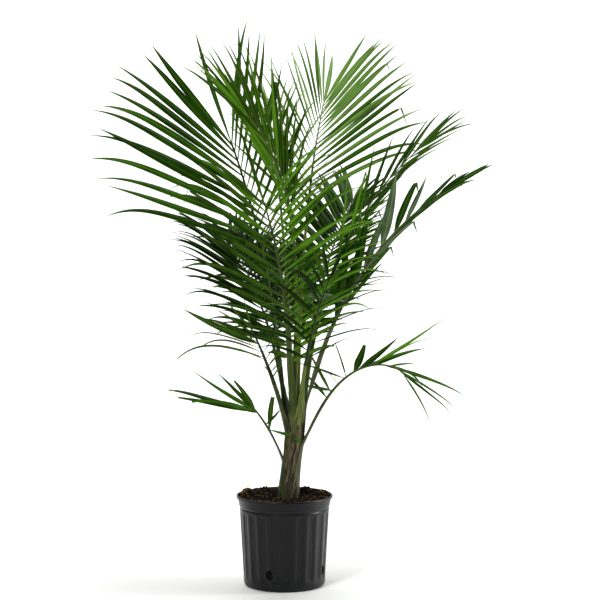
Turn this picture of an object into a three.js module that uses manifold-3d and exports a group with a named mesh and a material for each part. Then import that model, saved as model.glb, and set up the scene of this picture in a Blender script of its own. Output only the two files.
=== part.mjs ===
// Potted majesty palm, a young feather palm in a fluted black nursery pot.
// Millimetres, +Z up. The origin is the centre of the pot's flat underside.
// The front faces -Y. Seen from there +X is to the right and +Y leads away.

import * as THREE from 'three';
import { mergeVertices } from 'three/addons/utils/BufferGeometryUtils.js';
import Module from 'manifold-3d';

const wasm = await Module();
wasm.setup();

// Space kept between two nodes that meet.
const GAP = 0.3;
const DEGREE = Math.PI / 180;

// Pot: a 9 inch nursery pot with 22 ribs, a stepped band and a rolled rim.
const POT = {
  height: 221,
  wall: 2.5,
  footRadius: 90,
  heelHeight: 6,
  heelRadius: 96,
  ribStart: 14,
  ribEnd: 187,
  bodyTop: 192,
  bodyFootRadius: 97,
  bodyTopRadius: 107,
  bandBottom: 195,
  bandFootRadius: 109.5,
  bandTopRadius: 113.5,
  lipHeight: 7,
  lipStep: 1.5,
  lipRadius: 117.5,
  lipWidth: 3.2,
  ribs: 22,
  ribHeight: 2.2,
  firstRibBearing: 266.8,
  pointsPerRib: 3,
};

// Four oval drain holes low in the wall.
const DRAIN = { count: 4, bearing: 249, height: 42, width: 18, tall: 24, reach: 30, facets: 12 };

// Soil: it rises from the wall to a rough ring and a flat place round the trunk.
const SOIL = {
  top: 210,
  points: 36,
  wallGap: 0.5,
  edgeDrop: 3,
  outerRadius: 92,
  outerDrop: 0,
  innerRadius: 64,
  innerDrop: 1,
  flatRadius: 34,
  roughness: 2.6,
};

// Trunk: a bundle of leaf sheaths that leans to the right, flared at the soil.
const TRUNK = {
  foot: 210,
  fork: 352,
  footX: 8.5,
  forkX: 23,
  points: 16,
  stations: 10,
  flareRadius: 24.5,
  waistRadius: 20.2,
  forkRadius: 22.6,
  flareHeight: 60,
  folds: 3,
  foldDepth: 0.03,
  foldTwist: 1.2,
  seatDepth: 5,
  topMargin: 3,
};

// Stalk and blade sections.
const STALK = { sides: 6, pathSteps: 48, ringSpacing: 70, fewestRings: 4 };
const RIB = { sides: 5, steps: 6, tipRadius: 2 };
const LEAFLET = {
  rootWidth: 3.6,
  rootThickness: 2,
  rootDepth: 0.25,
  widest: 0.38,
  secondWidth: 0.62,
  secondAt: 0.72,
  thicknessShare: 0.013,
  leastThickness: 3,
  leftOffset: 0.35,
  rightOffset: 0.65,
  endAt: 0.98,
  crowding: 0.88,
  droopPower: 2.5,
  bentFrom: 0.45,
  curveSteps: 24,
  testMargin: 0.8,
};

// What the seeded draws may change on each leaflet.
const WOBBLE = { sweep: 3, lift: 4, length: 0.05, droop: 0.2 };

// Changes of angle, and then of length, tried for a leaflet that meets another limb.
const DETOURS = [
  [0, 0], [0, 7], [0, -7], [5, 0], [-5, 0], [5, 10], [-5, -10], [0, 14], [0, -14], [9, 0],
];
const SHORTENED = [1, 0.8, 0.6, 0.42];

// Fronds. Bearings are plan angles: 0 to the right, 90 to the back, 180 to the left.
// seat: where the stalk leaves the trunk, as a bearing and a distance from the trunk's axis,
//   with a height where it leaves the side of the trunk instead of the fork.
// lean: angle from upright at the seat. arch: what the lean gains by the tip, late where bend is high.
// drift: change of bearing by the tip. length: stalk and rib. bare: the stalk without leaflets.
// stalk: half thickness at the seat and at the first leaflet.
// roll, twist: turn of the blade about its rib at the first leaflet, and what it gains by the tip.
// leaf, width: longest leaflet. first, last, peak: relative length at either end, place of the longest.
// sweep: angle between leaflet and rib, from the first to the last, with a power for how it changes.
// lift: how far the rows stand up from the blade's plane. droop: sag of a leaflet towards its tip.
// loose: how many times the usual wobble its leaflets have.
// leftRow: what differs in the row on the left of the rib.
// leaflets: leaflets one by one, all that a torn frond has or a bent one beside the rows.
//   turn: how far such a blade is turned about its own line.
const FRONDS = [
  {
    name: 'back_left_high', seed: 11, seat: { bearing: 168, out: 17 },
    bearing: 143, drift: 0, lean: 5, arch: 20, bend: 1.4, length: 760, bare: 470, stalk: [5, 3.6],
    roll: -14, twist: -25, pairs: 11, leaf: 360, width: 14, first: 0.75, last: 0.88, peak: 0.5,
    sweep: [40, 25, 1.6], lift: [51, 45], droop: [0.1, 0.05],
    leftRow: {
      pairs: 13, leaf: 430, width: 23, first: 0.93, last: 0.75, peak: 0.4,
      sweep: [60, 18, 1.6], lift: [-20, 0], droop: [0.35, 0],
    },
  },
  {
    name: 'back_high', seed: 12, seat: { bearing: 100, out: 6.5 },
    bearing: 102, drift: 0, lean: 9, arch: 30, bend: 1.7, length: 860, bare: 550, stalk: [4.8, 3.2],
    roll: -15, twist: 0, pairs: 7, leaf: 240, width: 9, first: 0.7, last: 0.65, peak: 0.4,
    sweep: [54, 14, 1.2], lift: [20, 20], droop: [0.2, 0.1], loose: 1.5,
    leftRow: { leaf: 190 },
  },
  {
    name: 'back_right_high', seed: 13, seat: { bearing: 340, out: 6.5 },
    bearing: 77, drift: 0, lean: 5, arch: 41, bend: 1.6, length: 925, bare: 600, stalk: [5, 3.4],
    roll: 28, twist: -9, pairs: 18, leaf: 335, width: 17, first: 0.95, last: 0.6, peak: 0.3,
    sweep: [59, 44, 1], lift: [27, 60], droop: [0.45, 0.05],
    leftRow: { pairs: 15, leaf: 350, width: 10, last: 0.8, sweep: [40, 10, 1.2], lift: [-4, -4] },
  },
  {
    name: 'right_high', seed: 14, seat: { bearing: 12, out: 17 },
    bearing: 7, drift: 0, lean: 4, arch: 49, bend: 1.5, length: 835, bare: 430, stalk: [4.8, 3.2],
    roll: 80, twist: 0, pairs: 11, leaf: 190, width: 9, first: 1, last: 0.65, peak: 0.4,
    sweep: [14, 11, 1], lift: [6, 6], droop: [0.05, 0.3], loose: 1.5,
    leftRow: { pairs: 9, leaf: 210, width: 12, sweep: [17, 6, 1], lift: [14, 10] },
  },
  {
    name: 'right_mid', seed: 15, seat: { bearing: 332, out: 17 },
    bearing: 3, drift: 0, lean: 9, arch: 51, bend: 1.3, length: 765, bare: 300, stalk: [5.4, 4.2],
    roll: 90, twist: 0, pairs: 10, leaf: 170, width: 13, first: 0.9, last: 0.6, peak: 0.4,
    sweep: [16, 3, 1], lift: [0, 0], droop: [0.2, 0.2],
    leftRow: { pairs: 0 },
    leaflets: [
      { side: 1, along: 0.03, sweep: 16, lift: 20, length: 225, width: 24, droop: 0.1, turn: 0 },
      { side: 1, along: 0.1, sweep: 10, lift: -20, length: 205, width: 20, droop: 0.1, turn: 0 },
      { side: 1, along: 0.14, sweep: 106, lift: 25, length: 130, width: 25, droop: 0.2, turn: 0 },
      { side: 1, along: 0.22, sweep: 20, lift: 20, length: 190, width: 22, droop: 0.1, turn: 0 },
      { side: 1, along: 0.33, sweep: 16, lift: -15, length: 160, width: 20, droop: 0.1, turn: 0 },
      { side: 1, along: 0.48, sweep: 28, lift: 10, length: 190, width: 25, droop: 0.1, turn: 0 },
      { side: 1, along: 0.58, sweep: 24, lift: 10, length: 160, width: 20, droop: 0.1, turn: 0 },
      { side: 1, along: 0.66, sweep: 20, lift: -15, length: 125, width: 14, droop: 0.1, turn: 0 },
      { side: 1, along: 0.74, sweep: 8, lift: 55, length: 150, width: 12, droop: 0.1, turn: 0 },
      { side: 1, along: 0.88, sweep: 6, lift: 10, length: 100, width: 10, droop: 0.1, turn: 0 },
    ],
  },
  {
    name: 'spear', seed: 16, seat: { bearing: 220, out: 6.5 },
    bearing: 209, drift: 0, lean: -3, arch: 50, bend: 3.2, length: 825, bare: 545, stalk: [5.4, 3.6],
    roll: 50, twist: 0, pairs: 9, leaf: 290, width: 11, first: 0.8, last: 0.7, peak: 0.4,
    sweep: [18, 6, 1], lift: [15, 15], droop: [0.2, 0.25],
  },
  {
    name: 'front_left', seed: 17, seat: { bearing: 246, out: 17 },
    bearing: 240, drift: -27, lean: -1, arch: 21, bend: 1.3, length: 595, bare: 190, stalk: [5.6, 5.8],
    roll: 8, twist: -9, pairs: 18, leaf: 370, width: 19, first: 0.05, last: 0.7, peak: 0.7,
    sweep: [77, 48, 1.2], lift: [-3, -3], droop: [0.6, 0.5], loose: 2,
    leftRow: {
      pairs: 26, leaf: 300, width: 12, first: 0.4, peak: 0.4,
      sweep: [64, 52, 1], lift: [36, 42], droop: [0.9, 0.4],
    },
    leaflets: [
      { side: -1, along: 0.85, sweep: 130, lift: -105, length: 80, width: 16, droop: 1, turn: 0 },
    ],
  },
  {
    name: 'left_low', seed: 18, seat: { bearing: 206, out: 17 },
    bearing: 204, drift: -24, lean: 7, arch: 19, bend: 0.8, length: 300, bare: 150, stalk: [5, 4.2],
    roll: 40, twist: -41,
    leaflets: [
      { side: 1, along: 0.1, sweep: 56, lift: 70, length: 45, width: 6, droop: 0.1, turn: 0 },
      { side: 1, along: 0.2, sweep: 68, lift: 75, length: 55, width: 6, droop: 0.1, turn: 0 },
      { side: 1, along: 0.3, sweep: 60, lift: 70, length: 55, width: 7, droop: 0.1, turn: 0 },
      { side: 1, along: 0.42, sweep: 60, lift: 80, length: 65, width: 7, droop: 0.1, turn: 0 },
      { side: 1, along: 0.54, sweep: 60, lift: 80, length: 70, width: 7, droop: 0.1, turn: 0 },
      { side: 1, along: 0.66, sweep: 60, lift: 95, length: 80, width: 7, droop: 0.1, turn: 0 },
      { side: 1, along: 0.78, sweep: 54, lift: 90, length: 80, width: 7, droop: 0.1, turn: 0 },
      { side: 1, along: 0.9, sweep: 54, lift: 105, length: 80, width: 7, droop: 0.1, turn: 0 },
      { side: -1, along: 0.22, sweep: 32, lift: -90, length: 25, width: 5, droop: 0.1, turn: 60 },
      { side: -1, along: 0.42, sweep: 44, lift: -80, length: 100, width: 6, droop: 0.5, turn: 60 },
      { side: -1, along: 0.46, sweep: 50, lift: -75, length: 225, width: 8, droop: 1, turn: 70 },
      { side: -1, along: 0.55, sweep: 44, lift: -75, length: 155, width: 6, droop: 0.9, turn: 60 },
      { side: -1, along: 0.62, sweep: 46, lift: -85, length: 205, width: 6, droop: 1, turn: 60 },
      { side: -1, along: 0.7, sweep: 44, lift: -85, length: 205, width: 19, droop: 0, turn: 75 },
      { side: -1, along: 0.74, sweep: 44, lift: -105, length: 135, width: 7, droop: 0.4, turn: 60 },
      { side: -1, along: 0.8, sweep: 40, lift: -85, length: 135, width: 14, droop: 0.1, turn: 70 },
      { side: -1, along: 0.87, sweep: 32, lift: -115, length: 120, width: 9, droop: 0.3, turn: 60 },
      { side: -1, along: 0.94, sweep: 16, lift: -100, length: 95, width: 9, droop: 0.1, turn: 60 },
      { side: 1, along: 0.98, sweep: 12, lift: 90, length: 80, width: 9, droop: 0, turn: 60 },
    ],
  },
  {
    name: 'left_lowest', seed: 19, seat: { bearing: 185, out: 13, height: 275 },
    bearing: 188, drift: 0, lean: 12, arch: 27, bend: 1, length: 174, bare: 109, stalk: [4.6, 4],
    roll: 0, twist: 0,
    leaflets: [
      { side: 1, along: 0.04, sweep: 32, lift: 70, length: 85, width: 8, droop: 0, turn: 70 },
      { side: 1, along: 0.08, sweep: 128, lift: 60, length: 85, width: 7, droop: 0.5, turn: 60 },
      { side: 1, along: 0.3, sweep: 76, lift: 70, length: 50, width: 6, droop: 0, turn: 65 },
      { side: -1, along: 0.84, sweep: 44, lift: -65, length: 55, width: 6, droop: 0.1, turn: -60 },
      { side: -1, along: 0.86, sweep: 40, lift: -70, length: 225, width: 13, droop: 0.05, turn: -75 },
      { side: 1, along: 0.88, sweep: 40, lift: -90, length: 195, width: 13, droop: 0.05, turn: -70 },
      { side: 1, along: 0.93, sweep: 36, lift: -85, length: 160, width: 14, droop: 0.5, turn: -65 },
      { side: -1, along: 0.94, sweep: 26, lift: -55, length: 195, width: 13, droop: 0, turn: -78 },
      { side: -1, along: 0.96, sweep: 10, lift: -40, length: 135, width: 11, droop: 0, turn: -85 },
      { side: 1, along: 0.98, sweep: 8, lift: 50, length: 90, width: 13, droop: 0, turn: 80 },
    ],
  },
  {
    name: 'right_lowest', seed: 20, seat: { bearing: 348, out: 8, height: 296 },
    bearing: 348, drift: 0, lean: 23, arch: 107, bend: 2.8, length: 405, bare: 170, stalk: [5, 4.4],
    roll: 0, twist: 0,
    leaflets: [
      { side: 1, along: 0.05, sweep: 76, lift: 80, length: 75, width: 8, droop: 0, turn: 70 },
      { side: -1, along: 0.15, sweep: 114, lift: 60, length: 75, width: 7, droop: 0, turn: 65 },
      { side: 1, along: 0.12, sweep: 68, lift: 85, length: 100, width: 8, droop: 0, turn: 60 },
      { side: -1, along: 0.24, sweep: 80, lift: 65, length: 35, width: 6, droop: 0, turn: 75 },
      { side: 1, along: 0.33, sweep: 120, lift: 95, length: 135, width: 9, droop: 0.25, turn: 60 },
      { side: -1, along: 0.35, sweep: 66, lift: 70, length: 110, width: 13, droop: 0, turn: 70 },
      { side: 1, along: 0.45, sweep: 40, lift: 65, length: 70, width: 16, droop: 0, turn: 80 },
      { side: -1, along: 0.5, sweep: 12, lift: 70, length: 130, width: 21, droop: 0, turn: 65 },
      { side: 1, along: 0.56, sweep: 24, lift: 0, length: 170, width: 18, droop: 0.4, turn: 55 },
      { side: -1, along: 0.64, sweep: 20, lift: 100, length: 230, width: 12, droop: 0, turn: 80 },
      { side: 1, along: 0.67, sweep: 30, lift: 50, length: 180, width: 6, droop: 0.6, turn: 60 },
      { side: 1, along: 0.75, sweep: 32, lift: -20, length: 135, width: 11, droop: 1.4, turn: 70 },
      { side: -1, along: 0.83, sweep: 24, lift: 70, length: 75, width: 8, droop: 0, turn: 75 },
      { side: -1, along: 0.86, sweep: 2, lift: 30, length: 200, width: 14, droop: 0.25, turn: 80 },
      { side: 1, along: 0.92, sweep: 22, lift: -35, length: 200, width: 9, droop: 0.3, turn: 60 },
      { side: -1, along: 0.94, sweep: 4, lift: -170, length: 185, width: 8, droop: 0.35, turn: 65 },
      { side: -1, along: 0.97, sweep: 20, lift: -65, length: 160, width: 8, droop: 0.9, turn: 70 },
    ],
  },
  {
    name: 'back_left_mid', seed: 21, seat: { bearing: 130, out: 17 },
    bearing: 125, drift: 0, lean: 10, arch: 44, bend: 1.3, length: 560, bare: 250, stalk: [4.8, 3.2],
    roll: 0, twist: 0, pairs: 14, leaf: 250, width: 15, first: 0.7, last: 0.7, peak: 0.4,
    sweep: [74, 28, 1.2], lift: [10, 10], droop: [0.5, 0.4], loose: 1.6,
  },
  {
    name: 'back_right_mid', seed: 22, seat: { bearing: 50, out: 17 },
    bearing: 62, drift: 0, lean: 9, arch: 42, bend: 1.3, length: 680, bare: 330, stalk: [4.8, 3.2],
    roll: 0, twist: 0, pairs: 16, leaf: 175, width: 15, first: 0.7, last: 0.7, peak: 0.4,
    sweep: [72, 26, 1.2], lift: [12, 12], droop: [0.4, 0.3], loose: 1.6,
    leftRow: { leaf: 240 },
  },
  {
    name: 'back_low', seed: 23, seat: { bearing: 90, out: 17 },
    bearing: 95, drift: 0, lean: 15, arch: 50, bend: 1.2, length: 580, bare: 250, stalk: [4.8, 3.2],
    roll: 0, twist: 0, pairs: 16, leaf: 170, width: 15, first: 0.7, last: 0.7, peak: 0.4,
    sweep: [74, 26, 1.2], lift: [10, 10], droop: [0.5, 0.4], loose: 1.6,
    leftRow: { leaf: 220 },
  },
  {
    name: 'front_right', seed: 24, seat: { bearing: 290, out: 17 },
    bearing: 300, drift: 0, lean: 8, arch: 30, bend: 1.3, length: 440, bare: 200, stalk: [4.8, 3.2],
    roll: 0, twist: 0, pairs: 12, leaf: 200, width: 11, first: 0.6, last: 0.75, peak: 0.4,
    sweep: [62, 30, 1.2], lift: [6, 6], droop: [0.9, 0.7], loose: 2,
    leftRow: { pairs: 6, leaf: 235, width: 7, sweep: [75, 60, 1], droop: [0.5, 0.7] },
  },
];

// Small helpers

const UP = new THREE.Vector3(0, 0, 1);

function mix(a, b, t) {
  return a + (b - a) * t;
}

function polar(radius, bearing, z, x = 0) {
  const angle = bearing * DEGREE;
  return new THREE.Vector3(x + radius * Math.cos(angle), radius * Math.sin(angle), z);
}

// The same numbers between 0 and 1 for the same seed.
function seeded(seed) {
  let state = seed >>> 0;
  return () => {
    state = (state + 0x6d2b79f5) >>> 0;
    let t = state;
    t = Math.imul(t ^ (t >>> 15), t | 1);
    t ^= t + Math.imul(t ^ (t >>> 7), t | 61);
    return ((t ^ (t >>> 14)) >>> 0) / 4294967296;
  };
}

// A closed body through rings of points, each turning left about the way the rings go.
// A ring of one point makes that end a tip.
function loft(rings) {
  const geometry = new THREE.BufferGeometry();
  const points = rings.flat();
  const faces = [];
  let start = 0;
  for (let r = 0; r + 1 < rings.length; r++) {
    const count = rings[r].length;
    const next = start + count;
    const sides = Math.max(count, rings[r + 1].length);
    for (let i = 0; i < sides; i++) {
      const j = (i + 1) % sides;
      if (count > 1) faces.push(start + i, start + j, rings[r + 1].length > 1 ? next + j : next);
      if (rings[r + 1].length > 1) faces.push(count > 1 ? start + i : start, next + j, next + i);
    }
    start = next;
  }
  const first = rings[0].length;
  const last = rings[rings.length - 1].length;
  for (let i = 1; i + 1 < first; i++) faces.push(0, i + 1, i);
  for (let i = 1; i + 1 < last; i++) faces.push(start, start + i, start + i + 1);
  geometry.setFromPoints(points);
  geometry.setIndex(faces);
  return geometry;
}

function toSolid(geometry) {
  const bare = geometry.clone();
  bare.deleteAttribute('normal');
  bare.deleteAttribute('uv');
  const merged = mergeVertices(bare, 1e-4);
  const mesh = new wasm.Mesh({
    numProp: 3,
    vertProperties: new Float32Array(merged.attributes.position.array),
    triVerts: new Uint32Array(merged.index.array),
  });
  return new wasm.Manifold(mesh);
}

function toGeometry(solid) {
  const mesh = solid.getMesh();
  const geometry = new THREE.BufferGeometry();
  geometry.setAttribute('position', new THREE.BufferAttribute(new Float32Array(mesh.vertProperties), 3));
  geometry.setIndex(new THREE.BufferAttribute(new Uint32Array(mesh.triVerts), 1));
  geometry.computeVertexNormals();
  return geometry;
}

function mesh(name, geometry, colour, roughness) {
  const material = new THREE.MeshStandardMaterial({ color: colour, roughness, metalness: 0 });
  const piece = new THREE.Mesh(geometry, material);
  piece.name = name;
  return piece;
}

// Pot

function potRing(radius, z, rib) {
  const count = POT.ribs * POT.pointsPerRib;
  const ring = [];
  for (let i = 0; i < count; i++) {
    const raised = i % POT.pointsPerRib === 0 ? rib : 0;
    ring.push(polar(radius + raised, POT.firstRibBearing + (360 * i) / count, z));
  }
  return ring;
}

function bodyRadius(z) {
  return mix(POT.bodyFootRadius, POT.bodyTopRadius, (z - POT.ribStart) / (POT.bodyTop - POT.ribStart));
}

function drainCutter(index) {
  const geometry = new THREE.CylinderGeometry(0.5, 0.5, DRAIN.reach, DRAIN.facets);
  geometry.scale(DRAIN.tall, 1, DRAIN.width);
  geometry.rotateZ(Math.PI / 2);
  geometry.rotateX(Math.PI / 2);
  geometry.translate(bodyRadius(DRAIN.height), 0, 0);
  geometry.rotateZ((DRAIN.bearing + (360 * index) / DRAIN.count) * DEGREE);
  geometry.translate(0, 0, DRAIN.height);
  return geometry;
}

function makePot() {
  const lipFoot = POT.height - POT.lipHeight;
  const rings = [
    [new THREE.Vector3(0, 0, 0)],
    potRing(POT.footRadius, 0, 0),
    potRing(POT.heelRadius, POT.heelHeight, 0),
    potRing(bodyRadius(POT.ribStart), POT.ribStart, POT.ribHeight),
    potRing(bodyRadius(POT.ribEnd), POT.ribEnd, POT.ribHeight),
    potRing(POT.bodyTopRadius, POT.bodyTop, 0),
    potRing(POT.bandFootRadius, POT.bandBottom, 0),
    potRing(POT.bandTopRadius, lipFoot, 0),
    potRing(POT.lipRadius, lipFoot + POT.lipStep, 0),
    potRing(POT.lipRadius, POT.height, 0),
    potRing(POT.lipRadius - POT.lipWidth, POT.height, 0),
    potRing(POT.bandFootRadius - POT.wall, POT.bandBottom, 0),
    potRing(POT.bodyTopRadius - POT.wall, POT.bodyTop, 0),
    potRing(bodyRadius(POT.ribStart) - POT.wall, POT.ribStart, 0),
    potRing(POT.footRadius - POT.wall, POT.wall, 0),
    [new THREE.Vector3(0, 0, POT.wall)],
  ];
  let pot = toSolid(loft(rings));
  for (let i = 0; i < DRAIN.count; i++) pot = pot.subtract(toSolid(drainCutter(i)));
  return pot;
}

// Soil

function soilRing(radius, z, rough, centreX = 0) {
  const ring = [];
  for (let i = 0; i < SOIL.points; i++) {
    const bearing = (360 * i) / SOIL.points;
    const bump = Math.sin(3 * bearing * DEGREE + radius) + 0.6 * Math.sin(7 * bearing * DEGREE - radius);
    ring.push(polar(radius, bearing, z + rough * bump, centreX));
  }
  return ring;
}

function makeSoil() {
  const clear = POT.wall + SOIL.wallGap;
  const edge = bodyRadius(POT.bodyTop) - clear;
  const top = SOIL.top;
  return toSolid(loft([
    [new THREE.Vector3(0, 0, POT.wall + GAP)],
    soilRing(POT.footRadius - clear, POT.wall + GAP, 0),
    soilRing(bodyRadius(POT.ribStart) - clear, POT.ribStart, 0),
    soilRing(edge, POT.bodyTop, 0),
    soilRing(POT.bandFootRadius - clear, top - SOIL.edgeDrop, 0),
    soilRing(SOIL.outerRadius, top - SOIL.outerDrop, SOIL.roughness),
    soilRing(SOIL.innerRadius, top - SOIL.innerDrop, SOIL.roughness, TRUNK.footX / 2),
    soilRing(SOIL.flatRadius, top, 0, TRUNK.footX),
    [new THREE.Vector3(TRUNK.footX, 0, top)],
  ]));
}

// Trunk

function trunkX(z) {
  return mix(TRUNK.footX, TRUNK.forkX, (z - TRUNK.foot) / (TRUNK.fork - TRUNK.foot));
}

function trunkRadius(z) {
  const above = z - TRUNK.foot;
  const flare = (TRUNK.flareRadius - TRUNK.waistRadius) * Math.exp(-((above / TRUNK.flareHeight) ** 2));
  const swell = (TRUNK.forkRadius - TRUNK.waistRadius) * (above / (TRUNK.fork - TRUNK.foot)) ** 3;
  return TRUNK.waistRadius + flare + swell;
}

// The trunk from a foot to a top height, swollen by extra. Three sheath folds run up it.
function trunkBody(foot, top, extra) {
  const rings = [];
  for (let s = 0; s < TRUNK.stations; s++) {
    const z = mix(foot, top, s / (TRUNK.stations - 1));
    const ring = [];
    for (let i = 0; i < TRUNK.points; i++) {
      const bearing = (360 * i) / TRUNK.points;
      const foldAngle = (TRUNK.folds * bearing - TRUNK.foldTwist * (z - TRUNK.foot)) * DEGREE;
      const fold = 1 + TRUNK.foldDepth * Math.cos(foldAngle);
      ring.push(polar(trunkRadius(z) * fold + extra, bearing, z, trunkX(z)));
    }
    rings.push(ring);
  }
  return loft(rings);
}

// Fronds

// Forward, sideways and upper-face directions at share u of a frond, and along of its blade.
function frondFrame(frond, u, along) {
  const lean = (frond.lean + frond.arch * u ** frond.bend) * DEGREE;
  const bearing = (frond.bearing + frond.drift * u) * DEGREE;
  const forward = new THREE.Vector3(
    Math.sin(lean) * Math.cos(bearing),
    Math.sin(lean) * Math.sin(bearing),
    Math.cos(lean),
  );
  const flatSide = new THREE.Vector3(-Math.sin(bearing), Math.cos(bearing), 0);
  const flatFace = new THREE.Vector3().crossVectors(forward, flatSide);
  const roll = (frond.roll + frond.twist * Math.max(along, 0)) * DEGREE;
  const side = flatSide.clone().multiplyScalar(Math.cos(roll)).addScaledVector(flatFace, Math.sin(roll));
  const face = flatFace.clone().multiplyScalar(Math.cos(roll)).addScaledVector(flatSide, -Math.sin(roll));
  return { forward, side, face };
}

function seatPoint(frond) {
  const height = frond.seat.height ?? TRUNK.fork - TRUNK.seatDepth;
  return polar(frond.seat.out, frond.seat.bearing, height, trunkX(height));
}

// Points along the middle of stalk and rib, evenly spaced.
function midLine(frond) {
  const points = [seatPoint(frond)];
  for (let i = 0; i < STALK.pathSteps; i++) {
    const { forward } = frondFrame(frond, (i + 0.5) / STALK.pathSteps, 0);
    points.push(points[i].clone().addScaledVector(forward, frond.length / STALK.pathSteps));
  }
  return points;
}

function pointAt(line, u) {
  const place = Math.min(Math.max(u, 0), 1) * (line.length - 1);
  const index = Math.min(Math.floor(place), line.length - 2);
  return line[index].clone().lerp(line[index + 1], place - index);
}

function stalkRing(centre, frame, radius, sides) {
  const ring = [];
  for (let i = 0; i < sides; i++) {
    const angle = (2 * Math.PI * i) / sides;
    const point = centre.clone().addScaledVector(frame.side, radius * Math.cos(angle));
    ring.push(point.addScaledVector(frame.face, radius * Math.sin(angle)));
  }
  return ring;
}

// A tapering limb along a frond from share u0 to share u1.
function limb(frond, line, u0, u1, r0, r1, steps, sides) {
  const rings = [];
  for (let i = 0; i <= steps; i++) {
    const u = mix(u0, u1, i / steps);
    rings.push(stalkRing(pointAt(line, u), frondFrame(frond, u, 0), mix(r0, r1, i / steps), sides));
  }
  return loft(rings);
}

function relativeLength(row, along) {
  if (along < row.peak) return 1 - (1 - row.first) * (1 - along / row.peak) ** 2;
  return 1 - (1 - row.last) * ((along - row.peak) / (1 - row.peak)) ** 2;
}

// Every leaflet of a frond as angles and sizes, row by row from the first, and the end leaflet.
// They crowd towards the tip of the frond.
function leafletPlans(frond) {
  const plans = [...(frond.leaflets ?? [])];
  if (!frond.pairs) return plans;
  const random = seeded(frond.seed);
  const wobble = (size) => size * (2 * random() - 1);
  for (const side of [1, -1]) {
    const row = side > 0 ? { ...frond, ...frond.leftRow } : frond;
    const offset = side > 0 ? LEAFLET.leftOffset : LEAFLET.rightOffset;
    const loose = row.loose ?? 1;
    for (let i = 0; i < row.pairs; i++) {
      const along = ((i + offset) / row.pairs) ** LEAFLET.crowding;
      const [sweepFirst, sweepLast, sweepPower] = row.sweep;
      plans.push({
        side,
        along,
        sweep: mix(sweepFirst, sweepLast, along ** sweepPower) + wobble(loose * WOBBLE.sweep),
        lift: mix(row.lift[0], row.lift[1], along) + wobble(loose * WOBBLE.lift),
        length: row.leaf * relativeLength(row, along) * (1 + wobble(WOBBLE.length)),
        droop: mix(row.droop[0], row.droop[1], along) * (1 + wobble(loose * WOBBLE.droop)),
        width: row.width,
        turn: 0,
      });
    }
  }
  plans.push({
    side: 1,
    along: LEAFLET.endAt,
    sweep: 0,
    lift: 0,
    length: frond.leaf * frond.last,
    droop: frond.droop[1],
    width: frond.width,
    turn: 0,
  });
  return plans;
}

// A leaflet is a thin blade with a ridge: three points a section, a narrow root and a pointed tip.
function leaflet(frond, line, plan, margin) {
  const bare = frond.bare / frond.length;
  const u = bare + (1 - bare) * plan.along;
  const frame = frondFrame(frond, u, plan.along);
  const sweep = plan.sweep * DEGREE;
  const lift = plan.lift * DEGREE;
  const outward = frame.side.clone().multiplyScalar(plan.side * Math.cos(lift));
  outward.addScaledVector(frame.face, Math.sin(lift));
  const start = frame.forward.clone().multiplyScalar(Math.cos(sweep));
  start.addScaledVector(outward, Math.sin(sweep));
  const across = new THREE.Vector3().crossVectors(frame.face, start).normalize();
  across.applyAxisAngle(start, plan.turn * DEGREE);
  const thickness = Math.max(LEAFLET.leastThickness, LEAFLET.thicknessShare * plan.length);
  const stations = [
    { at: 0, width: LEAFLET.rootWidth, thick: LEAFLET.rootThickness },
    { at: LEAFLET.widest, width: plan.width, thick: thickness },
  ];
  if (plan.droop > LEAFLET.bentFrom) {
    stations.push({ at: LEAFLET.secondAt, width: plan.width * LEAFLET.secondWidth, thick: thickness });
  }
  const ribRadius = mix(frond.stalk[1], RIB.tipRadius, plan.along);
  const rings = [];
  const centre = pointAt(line, u).addScaledVector(start, LEAFLET.rootDepth * ribRadius);
  for (let k = 0; k <= LEAFLET.curveSteps; k++) {
    const v = k / LEAFLET.curveSteps;
    const forward = start.clone().addScaledVector(UP, -plan.droop * v ** LEAFLET.droopPower).normalize();
    const station = stations.find((s) => Math.round(s.at * LEAFLET.curveSteps) === k);
    if (station) {
      const thick = station.thick + margin;
      const half = across.clone().addScaledVector(forward, -across.dot(forward)).normalize();
      const ridge = new THREE.Vector3().crossVectors(forward, half);
      half.multiplyScalar(station.width / 2 + margin);
      const foot = centre.clone().addScaledVector(ridge, -thick / 2);
      const top = foot.clone().addScaledVector(ridge, thick);
      rings.push([foot.clone().add(half), top, foot.clone().sub(half)]);
    }
    if (k < LEAFLET.curveSteps) centre.addScaledVector(forward, plan.length / LEAFLET.curveSteps);
  }
  rings.push([centre]);
  return toSolid(loft(rings));
}

// What is already taken, as solids with their boxes and the node that each belongs to.
const taken = [];

function take(node, solid) {
  const box = solid.boundingBox();
  taken.push({ node, solid, low: box.min, high: box.max });
}

function meets(node, solid) {
  const box = solid.boundingBox();
  return taken.some((other) => {
    if (other.node === node) return false;
    for (let a = 0; a < 3; a++) {
      if (box.min[a] > other.high[a] || box.max[a] < other.low[a]) return false;
    }
    return !solid.intersect(other.solid).isEmpty();
  });
}

// The leaflet as planned, or turned or shortened until it meets no other limb, or nothing.
function fittedLeaflet(frond, line, plan) {
  for (const share of SHORTENED) {
    for (const [sweepChange, liftChange] of DETOURS) {
      const tried = {
        ...plan,
        sweep: plan.sweep + sweepChange,
        lift: plan.lift + liftChange,
        length: plan.length * share,
      };
      if (!meets('frond_' + frond.name, leaflet(frond, line, tried, LEAFLET.testMargin))) {
        return leaflet(frond, line, tried, 0);
      }
    }
  }
  return null;
}

// Assembly

const group = new THREE.Group();
group.add(mesh('pot', toGeometry(makePot()), 0x1f2021, 0.5));

const soil = makeSoil();
group.add(mesh('soil', toGeometry(soil), 0x2a1f16, 0.95));

const trunk = toSolid(trunkBody(TRUNK.foot + GAP, TRUNK.fork, 0));
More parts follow.
